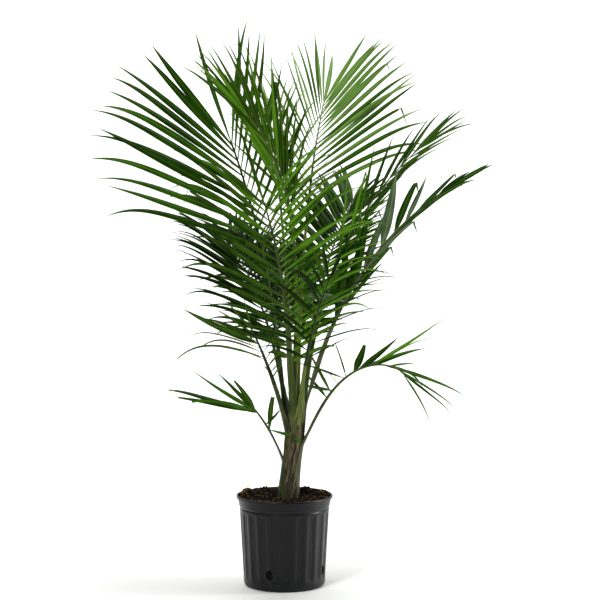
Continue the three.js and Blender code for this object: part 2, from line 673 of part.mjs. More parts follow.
// Cut from stalks that leave the side of the trunk, and from those that leave its top.
const sideSpace = toSolid(trunkBody(TRUNK.foot, TRUNK.fork + GAP, GAP));
const topSpace = toSolid(trunkBody(TRUNK.foot, TRUNK.fork + GAP, TRUNK.topMargin));
take('trunk', trunk);
group.add(mesh('trunk', toGeometry(trunk), 0x55493a, 0.8));

const lines = new Map();
const ribs = new Map();
for (const frond of FRONDS) {
  const line = midLine(frond);
  const bare = frond.bare / frond.length;
  const [seatRadius, bladeRadius] = frond.stalk;
  const end = bare - GAP / frond.length;
  const steps = Math.max(STALK.fewestRings, Math.round(frond.bare / STALK.ringSpacing));
  const stalk = toSolid(limb(frond, line, 0, end, seatRadius, bladeRadius, steps, STALK.sides))
    .subtract(frond.seat.height ? sideSpace : topSpace);
  const rib = toSolid(limb(frond, line, bare, 1, bladeRadius, RIB.tipRadius, RIB.steps, RIB.sides));
  lines.set(frond.name, line);
  ribs.set(frond.name, rib);
  take('petiole_' + frond.name, stalk);
  take('frond_' + frond.name, rib);
  group.add(mesh('petiole_' + frond.name, toGeometry(stalk), 0x4a5a24, 0.55));
}

for (const frond of FRONDS) {
  let blade = ribs.get(frond.name);
  for (const plan of leafletPlans(frond)) {
    const piece = fittedLeaflet(frond, lines.get(frond.name), plan);
    if (piece) {
      take('frond_' + frond.name, piece);
      blade = blade.add(piece);
    }
  }
  group.add(mesh('frond_' + frond.name, toGeometry(blade), 0x3f6a1f, 0.5));
}

export default group;
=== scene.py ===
# %% [markdown]
# # A potted majesty palm
# A young feather palm in a black nursery pot. The frame already holds every part of it as a plain
# solid at its real size. This lesson grows the fine version in the same places: a moulded pot,
# crumbly soil, a trunk of wrapped leaf sheaths, grooved stalks and folded leaflets.
# Everything is in metres with +Z up, and the plant's front faces -Y.

# %% Load the frame
import math

import bmesh
import bpy
import numpy as np
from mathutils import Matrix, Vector


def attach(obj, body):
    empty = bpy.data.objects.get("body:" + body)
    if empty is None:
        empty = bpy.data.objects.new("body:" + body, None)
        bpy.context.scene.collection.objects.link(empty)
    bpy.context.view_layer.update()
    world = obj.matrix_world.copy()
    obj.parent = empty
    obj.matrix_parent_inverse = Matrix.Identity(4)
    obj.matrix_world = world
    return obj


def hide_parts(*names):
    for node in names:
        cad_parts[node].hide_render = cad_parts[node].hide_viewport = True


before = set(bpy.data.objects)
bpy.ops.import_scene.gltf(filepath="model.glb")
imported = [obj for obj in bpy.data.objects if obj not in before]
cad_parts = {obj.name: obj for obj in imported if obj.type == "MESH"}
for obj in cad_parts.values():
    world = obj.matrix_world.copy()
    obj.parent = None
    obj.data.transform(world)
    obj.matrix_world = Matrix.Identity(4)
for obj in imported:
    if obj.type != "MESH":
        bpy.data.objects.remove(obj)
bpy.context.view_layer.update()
MM = 0.001
UP = np.array([0.0, 0.0, 1.0])
print("nodes in the frame:", len(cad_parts))

# %% [markdown]
# ## Camera
# The view is level with the middle of the plant and looks down a few degrees, through a long lens,
# so that the pot's rim shows as a thin ellipse. A long lens far away keeps the fronds that reach
# forward from looking too large. It could be turned by hand in the viewport, but a place and a
# pitch in numbers give the same picture in every run. The camera comes first, because everything
# is judged through it.

# %% The camera
CAMERA_PLACE = (0.0378, -4.2, 0.946)
CAMERA_PITCH = 3.41
CAMERA_LENS = 104.26
SENSOR_WIDTH = 36


def make_camera():
    """A camera that looks along +Y, tipped down by its pitch."""
    data = bpy.data.cameras.new("camera")
    data.lens = CAMERA_LENS
    data.sensor_width = SENSOR_WIDTH
    camera = bpy.data.objects.new("camera", data)
    camera.location = CAMERA_PLACE
    camera.rotation_euler = (math.radians(90 - CAMERA_PITCH), 0, 0)
    bpy.context.scene.collection.objects.link(camera)
    bpy.context.scene.camera = camera
    return camera


print("camera at", tuple(make_camera().location))

# %% [markdown]
# ## Small helpers
# Colours are picked from a screen as sRGB hex values, but light is added up in linear values, so
# one function turns the first into the second. Another adds a node, with its settings and links,
# so that each material below reads as a short recipe. A third turns lists of points and faces
# into an object. Modifiers could build some of these shapes, but a list of points can follow any
# formula, and gives the same mesh in every run.

# %% Colour and node helpers
# A Mix node has sockets of several kinds. These are the ones for colours.
FACTOR, FIRST, SECOND, MIXED = 0, 6, 7, 2


def linear(hex_value):
    """An sRGB hex colour as the linear RGBA that a shader expects."""
    channels = [int(hex_value[i:i + 2], 16) / 255 for i in (1, 3, 5)]
    return [c / 12.92 if c <= 0.04045 else ((c + 0.055) / 1.055) ** 2.4 for c in channels] + [1.0]


def add_node(tree, kind, inputs=None, **settings):
    """Adds a node with its settings. inputs gives sockets, by name or number, a value, a hex
    colour or a link."""
    node = tree.nodes.new(kind)
    for key, value in settings.items():
        setattr(node, key, value)
    for key, value in (inputs or {}).items():
        if isinstance(value, bpy.types.NodeSocket):
            tree.links.new(value, node.inputs[key])
        else:
            node.inputs[key].default_value = linear(value) if isinstance(value, str) else value
    return node


def new_material(name, **shader_values):
    """A material with a Principled shader, and the tree and shader to build on."""
    material = bpy.data.materials.new(name)
    material.use_nodes = True
    tree = material.node_tree
    shader = tree.nodes["Principled BSDF"]
    for key, value in shader_values.items():
        shader.inputs[key.replace("_", " ")].default_value = value
    return material, tree, shader


print("middle grey, sRGB 0.5, is", round(linear("#808080")[0], 3), "in linear values")

# %% Mesh helpers


def mesh_object(name, points, faces, materials, face_materials=None, crease_degrees=35, uv=None):
    """An object from points, faces of three or four corners, and the material of each face."""
    mesh = bpy.data.meshes.new(name)
    mesh.from_pydata(np.asarray(points).tolist(), [], faces)
    for material in materials:
        mesh.materials.append(material)
    if face_materials is not None:
        mesh.polygons.foreach_set("material_index", np.asarray(face_materials, dtype=np.int32))
    mesh.polygons.foreach_set("use_smooth", np.ones(len(mesh.polygons), dtype=bool))
    if uv is not None:
        corners = np.zeros(len(mesh.loops), dtype=np.int32)
        mesh.loops.foreach_get("vertex_index", corners)
        layer = mesh.uv_layers.new(name="UVMap")
        layer.data.foreach_set("uv", np.asarray(uv)[corners].astype(np.float32).ravel())
    mesh.set_sharp_from_angle(angle=math.radians(crease_degrees))
    mesh.update()
    piece = bpy.data.objects.new(name, mesh)
    bpy.context.scene.collection.objects.link(piece)
    return piece


def finish_piece(piece, slot, *nodes):
    """The piece rides with the plant and stands for these nodes, which it hides. slot is not used.
    """
    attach(piece, "root")
    if nodes:
        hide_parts(*nodes)
    print(piece.name, "has", len(piece.data.polygons), "faces")
    return piece


# %% Number helpers


def mix(a, b, t):
    """A value between a and b, at share t of the way."""
    return a + (b - a) * t


def smooth(t):
    """0 below 0, 1 above 1, and an S curve between."""
    t = np.clip(t, 0, 1)
    return t * t * (3 - 2 * t)


def unit(v):
    """The vector made one long."""
    return v / np.linalg.norm(v)


print("halfway up the S curve:", smooth(0.5))

# %% [markdown]
# ## Light and floor
# A plant on a white sheet in a studio is lit by large soft boxes. A sheet that curves up behind it
# hides the horizon, and two boxes of its own keep it white, one over the plant's back and one at
# the wall. Two tall boxes at the sides draw the bright edges on the ribs of the pot. One bright
# world could light it all, but light from all round would fill the shadows between the leaflets,
# and those shadows show how full the crown is. So the room is kept dim.

# %% The sheet
SHEET_WHITE = "#fafaf8"
SHEET_SHADE = "#f5f5f3"
SHEET_FRONT = -9.0
SHEET_BACK = 4.6
SHEET_HALF_WIDTH = 9.0
SHEET_BEND = 2.0
SHEET_TOP = 6.0
SHEET_STEPS = 12
PAPER_PER_METRE = 40.0


def make_sheet():
    """Matt white paper: it scatters light evenly, so it shows no gloss and no edge. Its tone
    wanders over 25 mm, so that the eye takes it for paper and not for an empty background."""
    profile = [(SHEET_FRONT, 0.0), (SHEET_BACK, 0.0)]
    for step in range(1, SHEET_STEPS + 1):
        angle = 0.5 * math.pi * step / SHEET_STEPS
        profile.append((SHEET_BACK + SHEET_BEND * math.sin(angle),
                        SHEET_BEND * (1 - math.cos(angle))))
    profile.append((SHEET_BACK + SHEET_BEND, SHEET_TOP))
    points = [(x, y, z) for y, z in profile for x in (-SHEET_HALF_WIDTH, SHEET_HALF_WIDTH)]
    faces = [(2 * i, 2 * i + 1, 2 * i + 3, 2 * i + 2) for i in range(len(profile) - 1)]
    paper, tree, shader = new_material("matt_white_paper", Roughness=0.9, Specular_IOR_Level=0.1)
    grain = add_node(tree, "ShaderNodeTexNoise", {"Scale": PAPER_PER_METRE, "Detail": 4.0})
    tint = add_node(tree, "ShaderNodeMix", {
        FACTOR: grain.outputs["Fac"], FIRST: SHEET_WHITE, SECOND: SHEET_SHADE}, data_type="RGBA")
    tree.links.new(tint.outputs[MIXED], shader.inputs["Base Color"])
    return mesh_object("paper_sheet", points, faces, [paper])


make_sheet()
print("sheet, m:", 2 * SHEET_HALF_WIDTH, "wide and", SHEET_BACK + SHEET_BEND - SHEET_FRONT, "deep")

# %% The lights
LIGHTS = {
    "key_box": {"place": (-1.5, -2.6, 3.2), "aim": (0, 0, 0.8), "size": (1.1, 0.9), "watts": 105},
    "left_box": {"place": (-3.0, 0.3, 1.0), "aim": (0, 0, 0.5), "size": (0.6, 2.0), "watts": 5},
    "right_box": {"place": (3.0, 0.1, 1.1), "aim": (0, 0, 0.5), "size": (0.8, 2.2), "watts": 82},
    "sheet_box": {"place": (0, 1.4, 4.2), "aim": (0, 3.4, 0.4), "size": (4.0, 1.0), "watts": 185},
    "wall_box": {"place": (0, 4.4, 4.4), "aim": (0, 6.6, 0.9), "size": (5.0, 1.2), "watts": 190},
}
ROOM_LIGHT = 0.012


def make_light(name, place, aim, size, watts):
    """A soft box: an area light at a place, turned towards its aim."""
    data = bpy.data.lights.new(name, "AREA")
    data.shape = "RECTANGLE"
    data.size, data.size_y = size
    data.energy = watts
    lamp = bpy.data.objects.new(name, data)
    lamp.location = place
    direction = Vector(aim) - lamp.location
    lamp.rotation_euler = direction.to_track_quat("-Z", "Y").to_euler()
    bpy.context.scene.collection.objects.link(lamp)


for light_name, light in LIGHTS.items():
    make_light(light_name, **light)
world = bpy.data.worlds.new("dim_room")
world.use_nodes = True
background = world.node_tree.nodes["Background"]
background.inputs["Color"].default_value = linear("#ffffff")
background.inputs["Strength"].default_value = ROOM_LIGHT
bpy.context.scene.world = world
bpy.context.scene.view_settings.view_transform = "Standard"
print("lights:", ", ".join(LIGHTS))

# %% [markdown]
# ## The growth rule
# All fourteen fronds follow one rule, the same that made the frame's solids. A stalk leaves the
# trunk at a seat, and leans more and more the further it goes. Past a bare stretch it carries two
# rows of leaflets, whose length and angle change from the first pair to the tip. Curves placed by
# hand would drift away from the solids, so the rule is written out here again. Seeded draws spoil
# its regularity a little, and the same seed gives the same frond in every run.

# %% Seeded draws


def seeded(seed):
    """The same draws between 0 and 1 for the same seed."""
    state = seed & 0xFFFFFFFF

    def draw():
        nonlocal state
        state = (state + 0x6D2B79F5) & 0xFFFFFFFF
        t = state
        t = ((t ^ (t >> 15)) * (t | 1)) & 0xFFFFFFFF
        t ^= (t + (((t ^ (t >> 7)) * (t | 61)) & 0xFFFFFFFF)) & 0xFFFFFFFF
        return ((t ^ (t >> 14)) & 0xFFFFFFFF) / 4294967296

    return draw


print("first draw for seed 11:", round(seeded(11)(), 3))

# %% The trunk's line and girth, in millimetres and degrees
TRUNK = {"foot": 210, "fork": 352, "foot_x": 8.5, "fork_x": 23, "flare": 24.5, "waist": 20.2,
         "fork_radius": 22.6, "flare_height": 60, "folds": 3, "fold_depth": 0.03, "fold_twist": 1.2}


def trunk_x(z):
    """The trunk leans to the right as it rises."""
    share = (z - TRUNK["foot"]) / (TRUNK["fork"] - TRUNK["foot"])
    return mix(TRUNK["foot_x"], TRUNK["fork_x"], share)


def trunk_radius(z):
    """The trunk flares at the foot and swells again towards its fork."""
    above = z - TRUNK["foot"]
    flare = (TRUNK["flare"] - TRUNK["waist"]) * np.exp(-((above / TRUNK["flare_height"]) ** 2))
    share = above / (TRUNK["fork"] - TRUNK["foot"])
    swell = (TRUNK["fork_radius"] - TRUNK["waist"]) * share ** 3
    return TRUNK["waist"] + flare + swell


print("the trunk is", TRUNK["fork"] - TRUNK["foot"], "mm tall and", 2 * TRUNK["waist"], "mm thick")

# %% [markdown]
# ## The table of fronds
# Each frond could be drawn by hand as a curve, but then fourteen curves and hundreds of leaflets
# would have to be kept in step with the solids. A table of measured numbers is shorter, and one
# number can be put right without drawing anything again. Bearings are plan angles: 0 is right and
# 90 is back. What isn't named for a frond is the usual value.
#
# - name, seed and green: the palette of greens that its leaflets draw from, and skin: its stalk's.
# - seat: bearing and distance from the trunk's axis, and the height where that isn't the fork.
# - bearing and drift: where it goes, and by how much that changes on the way.
# - lean, arch and bend: its lean at the seat, how much is added, and how late.
# - length and bare: the whole length, and the stretch without leaflets.
# - stalk and tip_radius: the radius at the seat, at the first leaflet and at the tip.
# - roll and twist: how far the blade is turned about its rib, and the further turn by the tip.
# - layer: how far its sheath lies out from the trunk's core. Older sheaths lie further out.
# - foot_half_width and foot_turn: the sheath's size and turn round the trunk, down at the soil.
# - brown_above: how far up from the seat the sheath stays brown.
# - pairs and denser: leaflets in a row of the solids, and how many more there really are.
# - leaf, first, last and peak: the longest leaflet, shares of it at both ends, and its place.
# - width, slimmer, taper and widest_at: the width in the solids, and the finer shape shown here.
# - sweep: the angle away from the rib at both ends, and how late it changes.
# - lift: the angle out of the blade's plane at both ends.
# - droop and loose: how far leaflets sag at both ends, and how irregular they are.
# - kinked and torn: the share of leaflets that are bent over or have lost their tip.
# - stub: where a torn low leaflet ends, as a share, and how much wider it is.
# - left_row: what differs in the row on the left of the rib.
# - leaflets: single ones, all that a torn frond has, or a bent one beside the rows.

# %% The table of fronds
USUAL = dict(skin=None, drift=0, stalk=(4.8, 3.2), roll=0, twist=0, tip_radius=0.9, layer=0,
             foot_half_width=32, foot_turn=0, brown_above=20, pairs=0, denser=1, slimmer=1,
             peak=0.4, loose=1, taper=1.5, widest_at=0.3, kinked=0.07, torn=0, stub=None,
             left_row={}, leaflets=())
# What the numbers of a single leaflet are, in their order. Most go without a green of their own.
LEAFLET_WORDS = ("side", "along", "sweep", "lift", "length", "width", "droop", "turn", "green")
MEASURED = [
    dict(name="back_left_high", seed=11, green="deep", skin="deep", seat=(168, 17), bearing=143,
         lean=5, arch=20, bend=1.4, length=760, bare=470, stalk=(5, 3.6), roll=-14, twist=-25,
         tip_radius=2.4, layer=1.2,
         pairs=11, leaf=360, width=14, slimmer=0.86, first=0.75, last=0.88, peak=0.5,
         sweep=(40, 25, 1.6), lift=(51, 45), droop=(0.1, 0.05), taper=1.9, widest_at=0.5,
         left_row=dict(pairs=13, leaf=430, width=23, first=0.93, last=0.75, peak=0.4,
                       sweep=(60, 18, 1.6), lift=(-20, 0), droop=(0.35, 0))),
    dict(name="back_high", seed=12, green="hazy", seat=(100, 6.5), bearing=102, lean=9, arch=30,
         bend=1.7, length=860, bare=550, roll=-15,
         pairs=7, denser=1.2, leaf=240, width=9, first=0.7, last=0.65, sweep=(54, 14, 1.2),
         lift=(20, 20), droop=(0.2, 0.1), loose=1.5,
         left_row=dict(leaf=190)),
    dict(name="back_right_high", seed=13, green="pale", skin="bright", seat=(340, 6.5), bearing=77,
         lean=5, arch=41, bend=1.6, length=925, bare=600, stalk=(5, 3.4), roll=28, twist=-9,
         pairs=18, leaf=335, width=17, slimmer=0.77, first=0.95, last=0.6, peak=0.3,
         sweep=(59, 44, 1), lift=(27, 60), droop=(0.45, 0.05), taper=1.8, widest_at=0.45,
         kinked=0.12,
         left_row=dict(pairs=15, leaf=350, width=10, last=0.8, sweep=(40, 10, 1.2),
                       lift=(-4, -4))),
    dict(name="right_high", seed=14, green="mid", seat=(12, 17), bearing=7, lean=4, arch=49,
         bend=1.5, length=835, bare=430, roll=80, layer=1.4,
         pairs=11, leaf=190, width=9, slimmer=0.8, first=1, last=0.65, sweep=(14, 11, 1),
         lift=(6, 6), droop=(0.05, 0.3), loose=1.5, kinked=0.15,
         left_row=dict(pairs=9, leaf=210, width=12, sweep=(17, 6, 1), lift=(14, 10))),
    dict(name="right_mid", seed=15, green="grey", seat=(332, 17), bearing=3, lean=9, arch=51,
         bend=1.3, length=765, bare=300, stalk=(5.4, 4.2), roll=90, layer=2.4, brown_above=70,
         pairs=10, leaf=170, width=13, first=0.9, last=0.6, sweep=(16, 3, 1), lift=(0, 0),
         droop=(0.2, 0.2), taper=2.2, kinked=0.5,
         left_row=dict(pairs=0),
         leaflets=(
             (1, 0.03, 16, 20, 225, 24, 0.1, 0), (1, 0.1, 10, -20, 205, 20, 0.1, 0),
             (1, 0.14, 106, 25, 130, 25, 0.2, 0), (1, 0.22, 20, 20, 190, 22, 0.1, 0),
             (1, 0.33, 16, -15, 160, 20, 0.1, 0), (1, 0.48, 28, 10, 190, 25, 0.1, 0),
             (1, 0.58, 24, 10, 160, 20, 0.1, 0), (1, 0.66, 20, -15, 125, 14, 0.1, 0),
             (1, 0.74, 8, 55, 150, 12, 0.1, 0), (1, 0.88, 6, 10, 100, 10, 0.1, 0),
         )),
    dict(name="spear", seed=16, green="bright", skin="bright", seat=(220, 6.5), bearing=209,
         lean=-3, arch=50, bend=3.2, length=825, bare=545, stalk=(5.4, 3.6), roll=50,
         pairs=9, denser=1.5, leaf=290, width=11, first=0.8, last=0.7, sweep=(18, 6, 1),
         lift=(15, 15), droop=(0.2, 0.25)),
    dict(name="front_left", seed=17, green="mid", skin="mid", seat=(246, 17), bearing=240,
         drift=-27, lean=-1, arch=21, bend=1.3, length=595, bare=190, stalk=(5.6, 5.8), roll=8,
         twist=-9, tip_radius=1.8, layer=3.2, foot_half_width=17, foot_turn=-4, brown_above=30,
         pairs=18, leaf=370, width=19, first=0.05, last=0.7, peak=0.7, sweep=(77, 48, 1.2),
         lift=(-3, -3), droop=(0.6, 0.5), loose=2,
         left_row=dict(green="fresh", pairs=26, leaf=300, width=12, first=0.4, peak=0.4,
                       sweep=(64, 52, 1), lift=(36, 42), droop=(0.9, 0.4)),
         leaflets=(
             (-1, 0.85, 130, -105, 80, 16, 1, 0, "hazy"),
         )),
    dict(name="left_low", seed=18, green="deep", skin="deep", seat=(206, 17), bearing=204,
         drift=-24, lean=7, arch=19, bend=0.8, length=300, bare=150, stalk=(5, 4.2), roll=40,
         twist=-41, tip_radius=1.6, layer=2.0,
         slimmer=0.85, taper=2.2, torn=0.3,
         leaflets=(
             (1, 0.1, 56, 70, 45, 6, 0.1, 0), (1, 0.2, 68, 75, 55, 6, 0.1, 0),
             (1, 0.3, 60, 70, 55, 7, 0.1, 0), (1, 0.42, 60, 80, 65, 7, 0.1, 0),
             (1, 0.54, 60, 80, 70, 7, 0.1, 0), (1, 0.66, 60, 95, 80, 7, 0.1, 0),
             (1, 0.78, 54, 90, 80, 7, 0.1, 0), (1, 0.9, 54, 105, 80, 7, 0.1, 0),
             (-1, 0.22, 32, -90, 25, 5, 0.1, 60), (-1, 0.42, 44, -80, 100, 6, 0.5, 60),
             (-1, 0.46, 50, -75, 225, 8, 1, 70), (-1, 0.55, 44, -75, 155, 6, 0.9, 60),
             (-1, 0.62, 46, -85, 205, 6, 1, 60), (-1, 0.7, 44, -85, 205, 19, 0, 75),
             (-1, 0.74, 44, -105, 135, 7, 0.4, 60), (-1, 0.8, 40, -85, 135, 14, 0.1, 70),
             (-1, 0.87, 32, -115, 120, 9, 0.3, 60), (-1, 0.94, 16, -100, 95, 9, 0.1, 60),
             (1, 0.98, 12, 90, 80, 9, 0, 60),
         )),
    dict(name="left_lowest", seed=19, green="mid", skin="deep", seat=(185, 13, 275), bearing=188,
         lean=12, arch=27, bend=1, length=174, bare=109, stalk=(4.6, 4), tip_radius=2.6, layer=3.8,
         foot_half_width=10, foot_turn=62, brown_above=-75,
         slimmer=1.02, torn=0.3, stub=(0.56, 1.9),
         leaflets=(
             (1, 0.04, 32, 70, 85, 8, 0, 70), (1, 0.08, 128, 60, 85, 7, 0.5, 60),
             (1, 0.3, 76, 70, 50, 6, 0, 65), (-1, 0.84, 44, -65, 55, 6, 0.1, -60),
             (-1, 0.86, 40, -70, 225, 13, 0.05, -75), (1, 0.88, 40, -90, 195, 13, 0.05, -70),
             (1, 0.93, 36, -85, 160, 14, 0.5, -65), (-1, 0.94, 26, -55, 195, 13, 0, -78),
             (-1, 0.96, 10, -40, 135, 11, 0, -85), (1, 0.98, 8, 50, 90, 13, 0, 80),
         )),
    dict(name="right_lowest", seed=20, green="mid", skin="deep", seat=(348, 8, 296), bearing=348,
         lean=23, arch=107, bend=2.8, length=405, bare=170, stalk=(5, 4.4), tip_radius=2.0,
         layer=3.2, brown_above=5,
         slimmer=0.8, stub=(0.76, 1.5),
         leaflets=(
             (1, 0.05, 76, 80, 75, 8, 0, 70), (-1, 0.15, 114, 60, 75, 7, 0, 65),
             (1, 0.12, 68, 85, 100, 8, 0, 60), (-1, 0.24, 80, 65, 35, 6, 0, 75),
             (1, 0.33, 120, 95, 135, 9, 0.25, 60), (-1, 0.35, 66, 70, 110, 13, 0, 70),
             (1, 0.45, 40, 65, 70, 16, 0, 80), (-1, 0.5, 12, 70, 130, 21, 0, 65),
             (1, 0.56, 24, 0, 170, 18, 0.4, 55), (-1, 0.64, 20, 100, 230, 12, 0, 80),
             (1, 0.67, 30, 50, 180, 6, 0.6, 60), (1, 0.75, 32, -20, 135, 11, 1.4, 70),
             (-1, 0.83, 24, 70, 75, 8, 0, 75), (-1, 0.86, 2, 30, 200, 14, 0.25, 80),
             (1, 0.92, 22, -35, 200, 9, 0.3, 60), (-1, 0.94, 4, -170, 185, 8, 0.35, 65),
             (-1, 0.97, 20, -65, 160, 8, 0.9, 70),
         )),
    # Its dark palette is painted shade, as it sits inside the crown.
    dict(name="back_left_mid", seed=21, green="dark", seat=(130, 17), bearing=125, lean=10,
         arch=44, bend=1.3, length=560, bare=250, layer=2.2,
         pairs=14, denser=1.8, leaf=250, width=15, first=0.7, last=0.7, sweep=(74, 28, 1.2),
         lift=(10, 10), droop=(0.5, 0.4), loose=1.6),
    dict(name="back_right_mid", seed=22, green="deep", seat=(50, 17), bearing=62, lean=9, arch=42,
         bend=1.3, length=680, bare=330, layer=2.6,
         pairs=16, denser=1.9, leaf=175, width=15, first=0.7, last=0.7, sweep=(72, 26, 1.2),
         lift=(12, 12), droop=(0.4, 0.3), loose=1.6,
         left_row=dict(leaf=240)),
    # Its dark palette is painted shade, as it sits inside the crown.
    dict(name="back_low", seed=23, green="dark", seat=(90, 17), bearing=95, lean=15, arch=50,
         bend=1.2, length=580, bare=250, layer=3.4,
         pairs=16, denser=2.0, leaf=170, width=15, first=0.7, last=0.7, sweep=(74, 26, 1.2),
         lift=(10, 10), droop=(0.5, 0.4), loose=1.6,
         left_row=dict(leaf=220)),
    # Its dark palette is painted shade, for the low centre of the crown.
    dict(name="front_right", seed=24, green="dark", skin="bright", seat=(290, 17), bearing=300,
         lean=8, arch=30, bend=1.3, length=440, bare=200, layer=1.6, brown_above=30,
         pairs=12, denser=1.1, leaf=200, width=11, slimmer=0.8, first=0.6, last=0.75,
         sweep=(62, 30, 1.2), lift=(6, 6), droop=(0.9, 0.7), loose=2,
         left_row=dict(pairs=6, leaf=235, width=7, sweep=(75, 60, 1), droop=(0.5, 0.7))),
]
FRONDS = [{**USUAL, **frond} for frond in MEASURED]
print("fronds:", len(FRONDS), "of up to", max(frond["length"] for frond in FRONDS), "mm")

# %% Directions along a frond


def frond_frame(frond, u, along):
    """Forward, sideways and upper-face directions at share u of the frond, along its blade.
    The lean grows by arch, late where bend is high, and the bearing changes by drift."""
    lean = math.radians(frond["lean"] + frond["arch"] * max(u, 0) ** frond["bend"])
    bearing = math.radians(frond["bearing"] + frond["drift"] * u)
    out = np.array([math.cos(bearing), math.sin(bearing), 0.0])
    forward = out * math.sin(lean) + UP * math.cos(lean)
    flat_side = np.array([-math.sin(bearing), math.cos(bearing), 0.0])
    flat_face = np.cross(forward, flat_side)
    roll = math.radians(frond["roll"] + frond["twist"] * max(along, 0))
    side = flat_side * math.cos(roll) + flat_face * math.sin(roll)
    face = flat_face * math.cos(roll) - flat_side * math.sin(roll)
    return forward, side, face


print("the first frond sets out towards", frond_frame(FRONDS[0], 0, 0)[0].round(2))

# %% The middle lines of the fronds
SEAT_DEPTH = 5
PATH_STEPS = 48


def seat_point(frond):
    """Where the middle of the stalk leaves the trunk."""
    bearing, out = frond["seat"][:2]
    height = frond["seat"][2] if len(frond["seat"]) > 2 else TRUNK["fork"] - SEAT_DEPTH
    angle = math.radians(bearing)
    return np.array([trunk_x(height) + out * math.cos(angle), out * math.sin(angle), height])


def mid_line(frond):
    """Points along the middle of stalk and rib, evenly spaced from the seat to the tip."""
    points = [seat_point(frond)]
    for i in range(PATH_STEPS):
        forward = frond_frame(frond, (i + 0.5) / PATH_STEPS, 0)[0]
        points.append(points[-1] + forward * frond["length"] / PATH_STEPS)
    return np.array(points)


def point_at(line, u):
    """The point at share u of a line of points."""
    place = min(max(u, 0), 1) * (len(line) - 1)
    index = min(int(place), len(line) - 2)
    return mix(line[index], line[index + 1], place - index)


LINES = {frond["name"]: mid_line(frond) for frond in FRONDS}
print("highest tip of a rib, mm:", round(max(line[-1][2] for line in LINES.values())))

# %% The rule for leaflets
WOBBLE = {"sweep": 3, "lift": 4, "length": 0.05, "droop": 0.2}
# The pairs are staggered: where the first leaflet of each row sits, in steps between leaflets.
OFFSETS = {1: 0.35, -1: 0.65}
CROWDING = 0.88
END_AT = 0.98
DROOP_POWER = 2.5


def relative_length(row, along):
    """1 at the peak, falling to first and last at the two ends of the blade."""
    peak = row["peak"]
    if along < peak:
        return 1 - (1 - row["first"]) * (1 - along / peak) ** 2
    return 1 - (1 - row["last"]) * ((along - peak) / (1 - peak)) ** 2


def row_plans(frond, side, draw):
    """The leaflets of one row, crowded towards the tip of the frond."""
    row = {**frond, **frond["left_row"]} if side > 0 else frond
    first, last, power = row["sweep"]
    loose = row["loose"]
    pairs = round(row["pairs"] * frond["denser"])
    plans = []
    for i in range(pairs):
        along = ((i + OFFSETS[side]) / pairs) ** CROWDING
        sweep = mix(first, last, along ** power) + loose * WOBBLE["sweep"] * (2 * draw() - 1)
        lift = mix(*row["lift"], along) + loose * WOBBLE["lift"] * (2 * draw() - 1)
        length = row["leaf"] * relative_length(row, along)
        length *= 1 + WOBBLE["length"] * (2 * draw() - 1)
        droop = mix(*row["droop"], along) * (1 + loose * WOBBLE["droop"] * (2 * draw() - 1))
        plans.append(dict(side=side, along=along, sweep=sweep, lift=lift, length=length,
                          droop=droop, width=row["width"], turn=0, green=row["green"]))
    return plans


def leaflet_plans(frond):
    """Each leaflet as a side, a place along the blade, angles, sizes and a droop."""
    plans = [dict(zip(LEAFLET_WORDS, row)) for row in frond["leaflets"]]
    if not frond["pairs"]:
        return plans
    draw = seeded(frond["seed"])
    plans += row_plans(frond, 1, draw) + row_plans(frond, -1, draw)
    plans.append(dict(side=1, along=END_AT, sweep=0, lift=0, length=frond["leaf"] * frond["last"],
                      droop=frond["droop"][1], width=frond["width"], turn=0, green=frond["green"]))
    return plans


PLANS = {frond["name"]: leaflet_plans(frond) for frond in FRONDS}
print("leaflets:", sum(len(plans) for plans in PLANS.values()))

# %% [markdown]
# ## Leaf materials
# A fresh leaflet has a waxy skin over green tissue. The upper face is deeper and glossier, and the
# underside is paler and greyer, with the fine parallel veins of a palm. Here each face of a leaflet
# is real geometry, so the two finishes are two materials on its two sides, and no trick with
# back faces is needed. A picture of a leaf could give the veins, but patterns worked out from real
# sizes stay sharp from near by. The leaflets are unrolled, so one coordinate runs across them in
# real metres and the other along them: the first places the pale midrib, the second the pale root.

# %% Pale midrib and root
MIDRIB_HALF_WIDTH = 0.7 * MM
ROOT_PALE_LENGTH = 22 * MM


def pale_mask(tree, place):
    """Near 1 on the midrib and at the root of a leaflet, where its tissue has little green."""
    unrolled = add_node(tree, "ShaderNodeSeparateXYZ", {"Vector": place.outputs["UV"]})
    from_middle = add_node(tree, "ShaderNodeMath", {0: unrolled.outputs["X"]}, operation="ABSOLUTE")
    midrib = add_node(tree, "ShaderNodeMapRange", {
        "Value": from_middle.outputs["Value"], "From Min": MIDRIB_HALF_WIDTH,
        "From Max": 1.6 * MIDRIB_HALF_WIDTH, "To Min": 0.75, "To Max": 0.0})
    root = add_node(tree, "ShaderNodeMapRange", {
        "Value": unrolled.outputs["Y"], "From Min": 0.0, "From Max": ROOT_PALE_LENGTH,
        "To Min": 0.7, "To Max": 0.0})
    pale = add_node(tree, "ShaderNodeMath", {
        0: midrib.outputs["Result"], 1: root.outputs["Result"]}, operation="MAXIMUM")
    return pale.outputs["Value"]


print("midrib", 2 * MIDRIB_HALF_WIDTH / MM, "mm wide, root pale for", ROOT_PALE_LENGTH / MM, "mm")

# %% Leaf skin
LEAF_IOR = 1.45
# Veins are drawn 1.6 mm apart. The real ones are finer, and would only flicker at this distance.
VEIN_SPACING = 1.6 * MM
# A wave texture of scale 1 has a wave every 0.314 m.
WAVE_PERIOD = 0.314
# Patches of two greens are about 70 mm long.
MOTTLE_PER_METRE = 14.0


